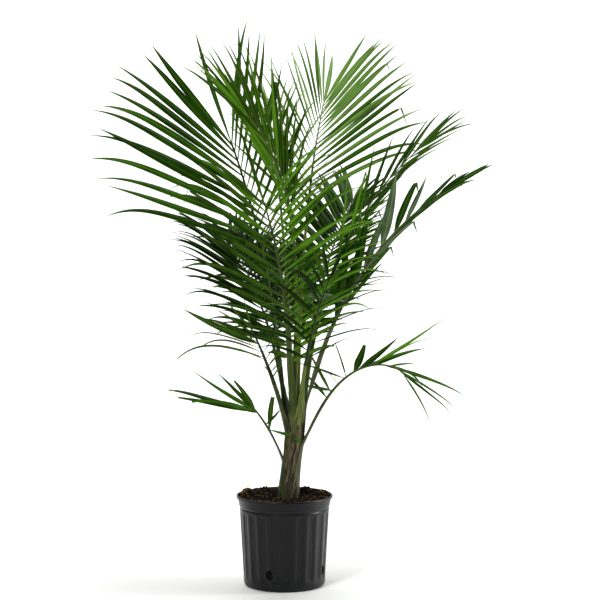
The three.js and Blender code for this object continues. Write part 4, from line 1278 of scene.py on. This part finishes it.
def polythene_material():
    """Black polythene from a pebbled mould: it is nearly black, and the eye reads its shape from
    the soft sheen along the ribs. Dust and faint scuffs show that it has stood in a nursery."""
    material, tree, shader = new_material("black_moulded_polythene", Roughness=0.4,
                                          IOR=POLYTHENE_IOR, Specular_IOR_Level=0.25)
    place = add_node(tree, "ShaderNodeTexCoord")
    dust = add_node(tree, "ShaderNodeTexNoise", {
        "Vector": place.outputs["Object"], "Scale": DUST_PER_METRE, "Detail": 8.0})
    level = add_node(tree, "ShaderNodeMapping", {
        "Vector": place.outputs["Object"], "Scale": SCUFF_STRETCH})
    scuffs = add_node(tree, "ShaderNodeTexNoise", {
        "Vector": level.outputs["Vector"], "Scale": SCUFFS_PER_METRE, "Detail": 10.0,
        "Roughness": 0.7})
    dusty = add_node(tree, "ShaderNodeMapRange", {
        "Value": dust.outputs["Fac"], "From Min": 0.45, "From Max": 0.8, "To Max": 0.5})
    scuffed = add_node(tree, "ShaderNodeMapRange", {
        "Value": scuffs.outputs["Fac"], "From Min": 0.58, "From Max": 0.75, "To Max": 0.35})
    black = add_node(tree, "ShaderNodeMix", {
        FACTOR: dusty.outputs["Result"], FIRST: POLYTHENE_BLACK, SECOND: POLYTHENE_DUSTY},
        data_type="RGBA")
    worn = add_node(tree, "ShaderNodeMix", {
        FACTOR: scuffed.outputs["Result"], FIRST: black.outputs[MIXED],
        SECOND: POLYTHENE_SCUFFED}, data_type="RGBA")
    tree.links.new(worn.outputs[MIXED], shader.inputs["Base Color"])
    sheen = add_node(tree, "ShaderNodeMapRange", {
        "Value": dust.outputs["Fac"], "From Min": 0.3, "From Max": 0.8, "To Min": 0.3,
        "To Max": 0.5})
    tree.links.new(sheen.outputs["Result"], shader.inputs["Roughness"])
    pebbles = add_node(tree, "ShaderNodeTexNoise", {
        "Vector": place.outputs["Object"], "Scale": PEBBLES_PER_METRE, "Detail": 2.0})
    relief = add_node(tree, "ShaderNodeBump", {
        "Height": pebbles.outputs["Fac"], "Strength": 0.25, "Distance": PEBBLE_DEPTH})
    tree.links.new(relief.outputs["Normal"], shader.inputs["Normal"])
    return material


POLYTHENE = polythene_material()
print("pot material:", POLYTHENE.name)

# %% Ribs and panels of the pot, in millimetres
POT = {"height": 221, "wall": 2.5, "foot": 90, "heel": 9, "rib_start": 14, "body_foot": 97,
       "body_top_height": 192, "body_top": 107, "band_bottom": 195, "band_foot": 109.5,
       "band_top": 113.5, "lip": 7, "lip_radius": 117.5, "ribs": 22, "rib_height": 2.2,
       "first_rib": 266.8}
PANEL_TOP = 186
PANEL_HALF = 12.5
PANEL_CORNER = 7.5
PANEL_SHOULDER = 8.5
PANEL_RUN_OUT = 0.45


def body_radius(z):
    """The taper of the pot's body, on the floor of its panels."""
    rise = POT["body_top_height"] - POT["rib_start"]
    return mix(POT["body_foot"], POT["body_top"], (z - POT["rib_start"]) / rise)


def sunk(bearing, z):
    """1 on the floor of a panel, 0 on a rib, from the distance to a panel with rounded corners."""
    pitch = 360 / POT["ribs"]
    from_rib = abs((bearing - POT["first_rib"] + pitch / 2) % pitch - pitch / 2)
    across = (pitch / 2 - from_rib) * math.radians(1) * body_radius(z)
    inner = PANEL_HALF - PANEL_CORNER
    down = PANEL_RUN_OUT * (POT["rib_start"] + PANEL_CORNER / PANEL_RUN_OUT - z)
    up = max(z - (PANEL_TOP - PANEL_CORNER), down, 0)
    distance = math.hypot(max(across - inner, 0), up) - PANEL_CORNER
    return float(smooth(-distance / PANEL_SHOULDER))


print("radius low and high, mm:", POT["body_foot"], POT["body_top"], "with", POT["ribs"], "ribs")

# %% Heel, ledge and stepped band
# The body is drawn in at the foot, and by a small ledge above its panels.
LEDGE_ABOVE = 2
LEDGE_HEIGHT = 4
LEDGE_DEPTH = 1.2
BAND_STEPS = 3
STEP_SHARPNESS = 2.2
# Where the panels begin and end to close, and how many rings each stretch of the outside has.
PANEL_FOOT = POT["rib_start"] + 12
PANEL_END = PANEL_TOP - 10
HEEL_RINGS = 8
BODY_RINGS = 16
BAND_RINGS = 24


def outer_radius(bearing, z):
    """The outside of the pot at any bearing and height, up to the rolled rim."""
    if z <= POT["body_top_height"]:
        radius = body_radius(z) + POT["rib_height"] * (1 - sunk(bearing, z))
        if z < POT["heel"]:
            drawn_in = body_radius(0) + POT["rib_height"] - POT["foot"]
            radius -= drawn_in * (1 - math.sqrt(1 - (1 - z / POT["heel"]) ** 2))
        ledge = float(smooth((z - PANEL_TOP - LEDGE_ABOVE) / LEDGE_HEIGHT))
        return radius - LEDGE_DEPTH * ledge
    top = POT["height"] - POT["lip"]
    step = (z - POT["band_bottom"]) / (top - POT["band_bottom"]) * BAND_STEPS
    stair = (math.floor(step) + float(smooth((step % 1) * STEP_SHARPNESS))) / BAND_STEPS
    return mix(POT["band_foot"], POT["band_top"], min(stair, 1.0))


def stations(low, high, count):
    """Heights from low to high, without the first."""
    return [mix(low, high, i / count) for i in range(1, count + 1)]


def pot_heights():
    """Heights up the outside, close together where the profile turns."""
    turns = [math.radians(90 * i / HEEL_RINGS) for i in range(HEEL_RINGS + 1)]
    return ([POT["heel"] * (1 - math.cos(turn)) for turn in turns]
            + stations(POT["heel"], PANEL_FOOT, HEEL_RINGS)
            + stations(PANEL_FOOT, PANEL_END, BODY_RINGS)
            + stations(PANEL_END, POT["body_top_height"], BODY_RINGS)
            + [POT["band_bottom"]]
            + stations(POT["band_bottom"], POT["height"] - POT["lip"], BAND_RINGS))


print("heights up the outside:", len(pot_heights()))

# %% Rim and inside of the pot
POINTS_PER_RIB = 20
POT_CREASE = 40
NEAR_AXIS = 0.05
# The rolled rim, as steps away from its widest radius and from the top of the pot.
RIM = ((-1.4, -7), (-0.2, -5.8), (0, -4), (0, -1.3), (-0.4, -0.4), (-1.2, 0), (-2.2, 0),
       (-3, -0.5), (-3.2, -1.5))
RIM_BACK = 0.5


def pot_inside():
    """Radius and height down the inside, one wall's thickness in."""
    wall = POT["wall"]
    return [(POT["band_top"] - wall + RIM_BACK, POT["height"] - POT["lip"]),
            (POT["band_foot"] - wall, POT["band_bottom"]),
            (POT["body_top"] - wall, POT["body_top_height"]),
            (body_radius(POT["rib_start"]) - wall, POT["rib_start"]),
            (POT["foot"] - wall, wall), (NEAR_AXIS, wall)]


def make_pot():
    """One closed grid: underside, outside, rim and inside."""
    around = POT["ribs"] * POINTS_PER_RIB
    bearings = [360 * i / around for i in range(around)]
    rings = [[(NEAR_AXIS, 0.0)] * around]
    rings += [[(outer_radius(b, z), z) for b in bearings] for z in pot_heights()]
    rim = [(POT["lip_radius"] + out, POT["height"] + up) for out, up in RIM]
    rings += [[place] * around for place in rim + pot_inside()]
    points = []
    for ring in rings:
        for bearing, (radius, z) in zip(bearings, ring):
            angle = math.radians(bearing)
            points.append((radius * math.cos(angle), radius * math.sin(angle), z))
    faces = shell_faces(0, len(rings), around)
    return mesh_object("nursery_pot", np.array(points) * MM, faces, [POLYTHENE], None, POT_CREASE)


pot = make_pot()
print("points in the pot:", len(pot.data.vertices))

# %% [markdown]
# ## Drain holes
# Oval holes low in the wall let the water out, and the soil shows in them. They could be built into
# the grid of the wall, but its points would have to bend round them. A boolean cut with an oval rod
# leaves the ribs as they are and shows the wall's thickness.

# %% Drain holes
DRAIN = {"count": 4, "bearing": 249, "height": 42, "width": 18, "tall": 24}
CUTTER_DEPTH = 0.03
CUTTER_SIDES = 40


def drain_cutter(bearing):
    """An oval rod that points at the pot's axis."""
    shape = bmesh.new()
    bmesh.ops.create_cone(shape, cap_ends=True, segments=CUTTER_SIDES, radius1=0.5, radius2=0.5,
                          depth=CUTTER_DEPTH)
    data = bpy.data.meshes.new("drain_cutter")
    shape.to_mesh(data)
    shape.free()
    cutter = bpy.data.objects.new("drain_cutter", data)
    radius = body_radius(DRAIN["height"])
    cutter.location = Vector((radius * math.cos(bearing), radius * math.sin(bearing),
                              DRAIN["height"])) * MM
    cutter.scale = (DRAIN["tall"] * MM, DRAIN["width"] * MM, 1)
    cutter.rotation_euler = (0, math.pi / 2, bearing)
    bpy.context.scene.collection.objects.link(cutter)
    return cutter


def cut_drains(pot):
    """Cuts the oval drain holes with one boolean each, and removes the cutters."""
    for index in range(DRAIN["count"]):
        cutter = drain_cutter(math.radians(DRAIN["bearing"] + 360 * index / DRAIN["count"]))
        cut = pot.modifiers.new("drain", "BOOLEAN")
        cut.operation = "DIFFERENCE"
        cut.object = cutter
        cut.solver = "EXACT"
        bpy.context.view_layer.update()
        with bpy.context.temp_override(object=pot, active_object=pot):
            bpy.ops.object.modifier_apply(modifier=cut.name)
        bpy.data.objects.remove(cutter)
    return pot


finish_piece(cut_drains(pot), "pot", "pot")

# %% [markdown]
# ## Soil
# Potting mix is dark peat with bark, coir and a few pale bits. It could be a plane with a bumpy
# material, but seen close such a plane looks like cloth. The body here is a solid that fills the
# pot, with real heaps and hollows, and the loose crumbs are laid over it afterwards.

# %% Soil materials
GRAINS_PER_METRE = 420.0
GRAIN_DEPTH = 1.0 * MM


def crumb_material(name, light_hex, dark_hex, roughness):
    """Rough crumbly stuff with grains of 2.4 mm. It scatters light, so it has hardly any gloss."""
    material, tree, shader = new_material(name, Roughness=roughness, Specular_IOR_Level=0.15)
    place = add_node(tree, "ShaderNodeTexCoord")
    grains = add_node(tree, "ShaderNodeTexNoise", {
        "Vector": place.outputs["Object"], "Scale": GRAINS_PER_METRE, "Detail": 6.0})
    tint = add_node(tree, "ShaderNodeMix", {
        FACTOR: grains.outputs["Fac"], FIRST: dark_hex, SECOND: light_hex}, data_type="RGBA")
    tree.links.new(tint.outputs[MIXED], shader.inputs["Base Color"])
    relief = add_node(tree, "ShaderNodeBump", {
        "Height": grains.outputs["Fac"], "Strength": 0.8, "Distance": GRAIN_DEPTH})
    tree.links.new(relief.outputs["Normal"], shader.inputs["Normal"])
    return material


# Moist peat swallows light and reads as the gaps between the crumbs.
PEAT = crumb_material("moist_dark_peat", "#110c08", "#050302", 0.95)
# Compost has dried on top, so its crumbs stand out a little browner.
LOAM = crumb_material("brown_compost", "#21170e", "#0d0906", 0.95)
# Ground bark shows broken faces of reddish brown, the specks that the eye finds first.
BARK = crumb_material("bark_chip", "#6b4a28", "#352313", 0.85)
# Combed coir is pale straw brown, and draws thin light lines over the dark mix.
COIR = crumb_material("coir_fibre", "#80623a", "#523b22", 0.85)
print("soil materials:", ", ".join(material.name for material in (PEAT, LOAM, BARK, COIR)))

# %% The surface of the soil
SOIL = {"top": 211, "gap": 0.6, "edge_rise": 3, "rise_from": 60, "rise_run": 50, "rough": 1.8,
        "calm_within": 20}
# Soil is heaped up at the wall, and a little in front. Each is x, y, height and width.
HEAPS = ((-93, 24, 15, 12), (-55, 84, 7, 20), (0, 99, 6, 24), (55, 84, 7, 20), (95, 26, 9, 14),
         (-30, -88, 2, 15), (85, -30, 2, 14))
# Long waves, 57 mm and 48 mm, cross each other, and short ones of 21 mm run askew. Each is a rate
# per millimetre to the right and to the back.
LONG_WAVES = (0.11, 0.13)
LONG_START = 1.3
SHORT_WAVES = (0.23, -0.19)
SHORT_HEIGHT = 0.6


def soil_height(x, y):
    """The surface: level round the trunk, higher towards the wall, with heaps and soft lumps."""
    radius = np.hypot(x, y)
    rise = SOIL["edge_rise"] * smooth((radius - SOIL["rise_from"]) / SOIL["rise_run"])
    for heap_x, heap_y, height, width in HEAPS:
        rise = rise + height * np.exp(-((x - heap_x) ** 2 + (y - heap_y) ** 2) / (2 * width ** 2))
    lumps = (np.sin(x * LONG_WAVES[0] + LONG_START) * np.cos(y * LONG_WAVES[1])
             + SHORT_HEIGHT * np.sin(x * SHORT_WAVES[0] + y * SHORT_WAVES[1]))
    calm = smooth((radius - SOIL["calm_within"]) / SOIL["calm_within"])
    return SOIL["top"] + rise + SOIL["rough"] * lumps * calm


print("soil at the front wall, mm:", round(float(soil_height(0, -100)), 1))

# %% Soil body
SOIL_AROUND = 120
SOIL_RINGS = 40
SOIL_CREASE = 60


def circle(radius):
    """Points round the soil's axis, in plan."""
    angles = [2 * math.pi * i / SOIL_AROUND for i in range(SOIL_AROUND)]
    return [(radius * math.cos(angle), radius * math.sin(angle)) for angle in angles]


def make_soil():
    """Rings over the surface, then down inside the wall, closed with a flat bottom."""
    inset = POT["wall"] + SOIL["gap"]
    edge = POT["band_foot"] - inset
    points = [(0, 0, SOIL["top"])]
    for r in range(1, SOIL_RINGS + 1):
        points += [(x, y, float(soil_height(x, y))) for x, y in circle(edge * r / SOIL_RINGS)]
    wall = ((body_radius(POT["body_top_height"]) - inset, POT["body_top_height"]),
            (body_radius(POT["rib_start"]) - inset, POT["rib_start"]), (POT["foot"] - inset, inset))
    for radius, z in wall:
        points += [(x, y, z) for x, y in circle(radius)]
    faces = [(0, 1 + i, 1 + (i + 1) % SOIL_AROUND) for i in range(SOIL_AROUND)]
    for r in range(SOIL_RINGS + len(wall) - 1):
        a = 1 + r * SOIL_AROUND
        for i in range(SOIL_AROUND):
            j = (i + 1) % SOIL_AROUND
            faces.append((a + i, a + SOIL_AROUND + i, a + SOIL_AROUND + j, a + j))
    faces.append(tuple(range(len(points) - 1, len(points) - 1 - SOIL_AROUND, -1)))
    return mesh_object("soil_body", np.array(points) * MM, faces, [PEAT], None, SOIL_CREASE)


finish_piece(make_soil(), "soil", "soil")

# %% [markdown]
# ## Crumbs, chips and fibres
# The top of a potting mix is loose: crumbs up to the size of a pea, flat chips of bark and combed
# coir. A particle system could strew them, but its copies aren't solid pieces of their own. So each
# kind is one mesh of many small balls, dented, squashed and turned by seeded draws, and each fibre
# is a bent strand with three corners, which is round enough at this size.

# %% Many lumps as one piece
LUMP_CREASE = 20
LUMP_LIFT = 0.25
LUMP_WIDTHS = (0.5, 0.9)


def lump_shape():
    """The points and faces of a small ball."""
    ball = bmesh.new()
    bmesh.ops.create_icosphere(ball, subdivisions=1, radius=1)
    points = np.array([v.co[:] for v in ball.verts])
    faces = [tuple(v.index for v in f.verts) for f in ball.faces]
    ball.free()
    return points, faces


def random_turn(noise):
    """A random rotation, as the three axes of a turned frame."""
    axes, _ = np.linalg.qr(noise.normal(0, 1, (3, 3)))
    return axes * np.sign(np.linalg.det(axes))


def make_lumps(name, noise, places, sizes, flat, jitter, mixture):
    """Many jittered balls in one piece. flat squashes them into chips."""
    base, base_faces = lump_shape()
    materials, shares = zip(*mixture)
    points, faces, finishes = [], [], []
    for place, size in zip(places, sizes):
        shape = base * (1 + jitter * noise.uniform(-1, 1, (len(base), 1)))
        shape = shape * size * np.array([1, noise.uniform(*LUMP_WIDTHS), flat])
        shape = shape @ random_turn(noise).T
        start = len(points)
        points += (shape + place + UP * size * LUMP_LIFT).tolist()
        faces += [tuple(start + i for i in face) for face in base_faces]
        finishes += [int(noise.choice(len(materials), p=shares))] * len(base_faces)
    piece = mesh_object(name, np.array(points) * MM, faces, materials, finishes, LUMP_CREASE)
    return finish_piece(piece, "soil")


print("faces in a lump:", len(lump_shape()[1]))

# %% Crumbs and chips
CRUMBS = 5600
CRUMB_GAMMA = (3.0, 0.62)
CRUMB_SIZES = (0.7, 5.0)
CHIPS = 240
CHIP_SIZES = (2.5, 6.5)
WALL_CLEARANCE = 2
TRUNK_OVERLAP = 2
soil_noise = np.random.RandomState(3)


def scatter(noise, count):
    """Places on the soil's surface, from under the trunk's edge to just short of the wall."""
    places = []
    edge = POT["band_foot"] - POT["wall"] - WALL_CLEARANCE
    inner = TRUNK["flare"] - TRUNK_OVERLAP
    while len(places) < count:
        x, y = noise.uniform(-edge, edge, 2)
        if math.hypot(x, y) < edge and math.hypot(x - TRUNK["foot_x"], y) > inner:
            places.append((x, y, float(soil_height(x, y))))
    return np.array(places)


# Most crumbs are small and a few are large, which is what a gamma draw gives.
crumb_sizes = soil_noise.gamma(*CRUMB_GAMMA, CRUMBS) + CRUMB_SIZES[0]
make_lumps("soil_crumbs", soil_noise, scatter(soil_noise, CRUMBS),
           np.minimum(crumb_sizes, CRUMB_SIZES[1]), flat=0.8, jitter=0.25,
           mixture=((PEAT, 0.62), (LOAM, 0.33), (BARK, 0.05)))
make_lumps("bark_chips", soil_noise, scatter(soil_noise, CHIPS),
           soil_noise.uniform(*CHIP_SIZES, CHIPS), flat=0.22, jitter=0.2,
           mixture=((BARK, 0.6), (LOAM, 0.4)))

# %% Coir fibres
STRAND_CORNERS = (0, 2.1, 4.2)
STRAND_CREASE = 60
FIBRES = 170
FIBRE_STEPS = 6
FIBRE_BEND = 0.5
FIBRE_LENGTHS = (7, 20)
FIBRE_RADII = (0.22, 0.45)
FIBRE_LIFT = 1.0
FIBRE_ARCH = 1.2


def strand_ring(place, ahead, radius):
    """The three corners of a strand's section. ahead is level."""
    left = np.array([-ahead[1], ahead[0], 0.0])
    return [(place + radius * (left * math.cos(turn) + UP * math.sin(turn))).tolist()
            for turn in STRAND_CORNERS]


def make_fibres(noise):
    """Short curled fibres, each a bent strand lying on the soil."""
    points, faces = [], []
    for x, y, z in scatter(noise, FIBRES):
        heading = noise.uniform(0, 2 * math.pi)
        bend = noise.uniform(-FIBRE_BEND, FIBRE_BEND)
        length = noise.uniform(*FIBRE_LENGTHS)
        radius = noise.uniform(*FIBRE_RADII)
        place = np.array([x, y, z + FIBRE_LIFT])
        faces += shell_faces(len(points), FIBRE_STEPS + 1, len(STRAND_CORNERS))
        for k in range(FIBRE_STEPS + 1):
            ahead = np.array([math.cos(heading), math.sin(heading), 0.0])
            points += strand_ring(place, ahead, radius)
            place = place + ahead * length / FIBRE_STEPS
            arch = FIBRE_ARCH * math.sin(math.pi * k / FIBRE_STEPS)
            place[2] = float(soil_height(place[0], place[1])) + FIBRE_LIFT + arch
            heading += bend
    return mesh_object("coir_fibres", np.array(points) * MM, faces, [COIR], None, STRAND_CREASE)


finish_piece(make_fibres(soil_noise), "soil")

# %% Coarse bits heaped at the rim
# Bearing, spread in degrees and number of each heap.
RIM_HEAPS = ((166, 9, 150), (12, 9, 60), (90, 40, 90))
RIM_RADII = (88, 106)
RIM_LIFT = 1.0
RIM_SIZES = (1.5, 5.0)


def near_rim(noise, bearing, spread, count):
    """Places on the soil close to the wall, round a bearing."""
    places = []
    turns = noise.normal(bearing, spread, count)
    for turn, radius in zip(turns, noise.uniform(*RIM_RADII, count)):
        x, y = radius * math.cos(math.radians(turn)), radius * math.sin(math.radians(turn))
        places.append((x, y, float(soil_height(x, y)) + RIM_LIFT))
    return places


rim_places = np.array([place for heap in RIM_HEAPS for place in near_rim(soil_noise, *heap)])
make_lumps("rim_bits", soil_noise, rim_places, soil_noise.uniform(*RIM_SIZES, len(rim_places)),
           flat=0.4, jitter=0.25, mixture=((BARK, 0.5), (LOAM, 0.15), (COIR, 0.35)))

# %% [markdown]
# ## Thin roots
# A few of the palm's roots run over the soil before they go down. They could be drawn as curves
# with a bevel, but they must lie on the lumps of the soil. So only a few points are given, seen
# from above, and each step along the root takes its height from the soil under it.

# %% Thin roots on the soil
# Each is a row of points in millimetres.
SURFACE_ROOTS = (
    ((-96, 52), (-78, 22), (-47, -4), (-12, -20), (12, -23), (36, -8)),
    ((-101, 8), (-98, 26), (-90, 40), (-78, 46), (-70, 38)),
    ((60, -48), (74, -30), (92, -22), (99, -4)),
    ((-30, -66), (-8, -78), (16, -72), (30, -80)),
)
ROOT_RADIUS = 1.2
ROOT_NARROWING = 0.6
ROOT_LIFT = 4.2
ROOT_WAVE = (0.8, 0.9)
ROOT_STEPS = 26
ROOT_SMOOTHINGS = 3


def root_way(root):
    """A smooth curve through a root's points, in even steps."""
    marks = np.linspace(0, len(root) - 1, ROOT_STEPS + 1)
    way = np.array([np.interp(marks, range(len(root)), [point[axis] for point in root])
                    for axis in (0, 1)]).T
    for _ in range(ROOT_SMOOTHINGS):
        way[1:-1] = (way[:-2] + 2 * way[1:-1] + way[2:]) / 4
    return way


def make_roots():
    """Each root is a strand along its curve, thinner towards its end."""
    points, faces = [], []
    for root in SURFACE_ROOTS:
        way = root_way(root)
        faces += shell_faces(len(points), ROOT_STEPS + 1, len(STRAND_CORNERS))
        for k, (x, y) in enumerate(way):
            ahead = unit(way[min(k + 1, ROOT_STEPS)] - way[max(k - 1, 0)])
            wave = ROOT_WAVE[0] * math.sin(k * ROOT_WAVE[1])
            place = np.array([x, y, float(soil_height(x, y)) + ROOT_LIFT + wave])
            radius = ROOT_RADIUS * (1 - ROOT_NARROWING * k / ROOT_STEPS)
            points += strand_ring(place, ahead, radius)
    return mesh_object("surface_roots", np.array(points) * MM, faces, [COIR], None, STRAND_CREASE)


finish_piece(make_roots(), "soil")

# %% Crumbs behind the drain holes
DRAIN_CRUMBS = 60
DRAIN_TALL_SHARE = 0.45
DRAIN_WIDE_SHARE = 0.4
DRAIN_DEPTHS = (-2.0, 0.6)
DRAIN_SIZES = (1.2, 3.0)


def in_drains(noise, count):
    """Places just behind each drain hole, where the soil fills it."""
    places = []
    for index in range(DRAIN["count"]):
        bearing = math.radians(DRAIN["bearing"] + 360 * index / DRAIN["count"])
        ups = noise.uniform(-DRAIN_TALL_SHARE, DRAIN_TALL_SHARE, count)
        for up, along in zip(ups, noise.uniform(-DRAIN_WIDE_SHARE, DRAIN_WIDE_SHARE, count)):
            z = DRAIN["height"] + up * DRAIN["tall"]
            radius = body_radius(z) - POT["wall"] + noise.uniform(*DRAIN_DEPTHS)
            turn = bearing + along * DRAIN["width"] / radius
            places.append((radius * math.cos(turn), radius * math.sin(turn), z))
    return np.array(places)


drain_places = in_drains(soil_noise, DRAIN_CRUMBS)
make_lumps("drain_bits", soil_noise, drain_places,
           soil_noise.uniform(*DRAIN_SIZES, len(drain_places)), flat=0.7, jitter=0.25,
           mixture=((LOAM, 0.5), (BARK, 0.2), (PEAT, 0.3)))
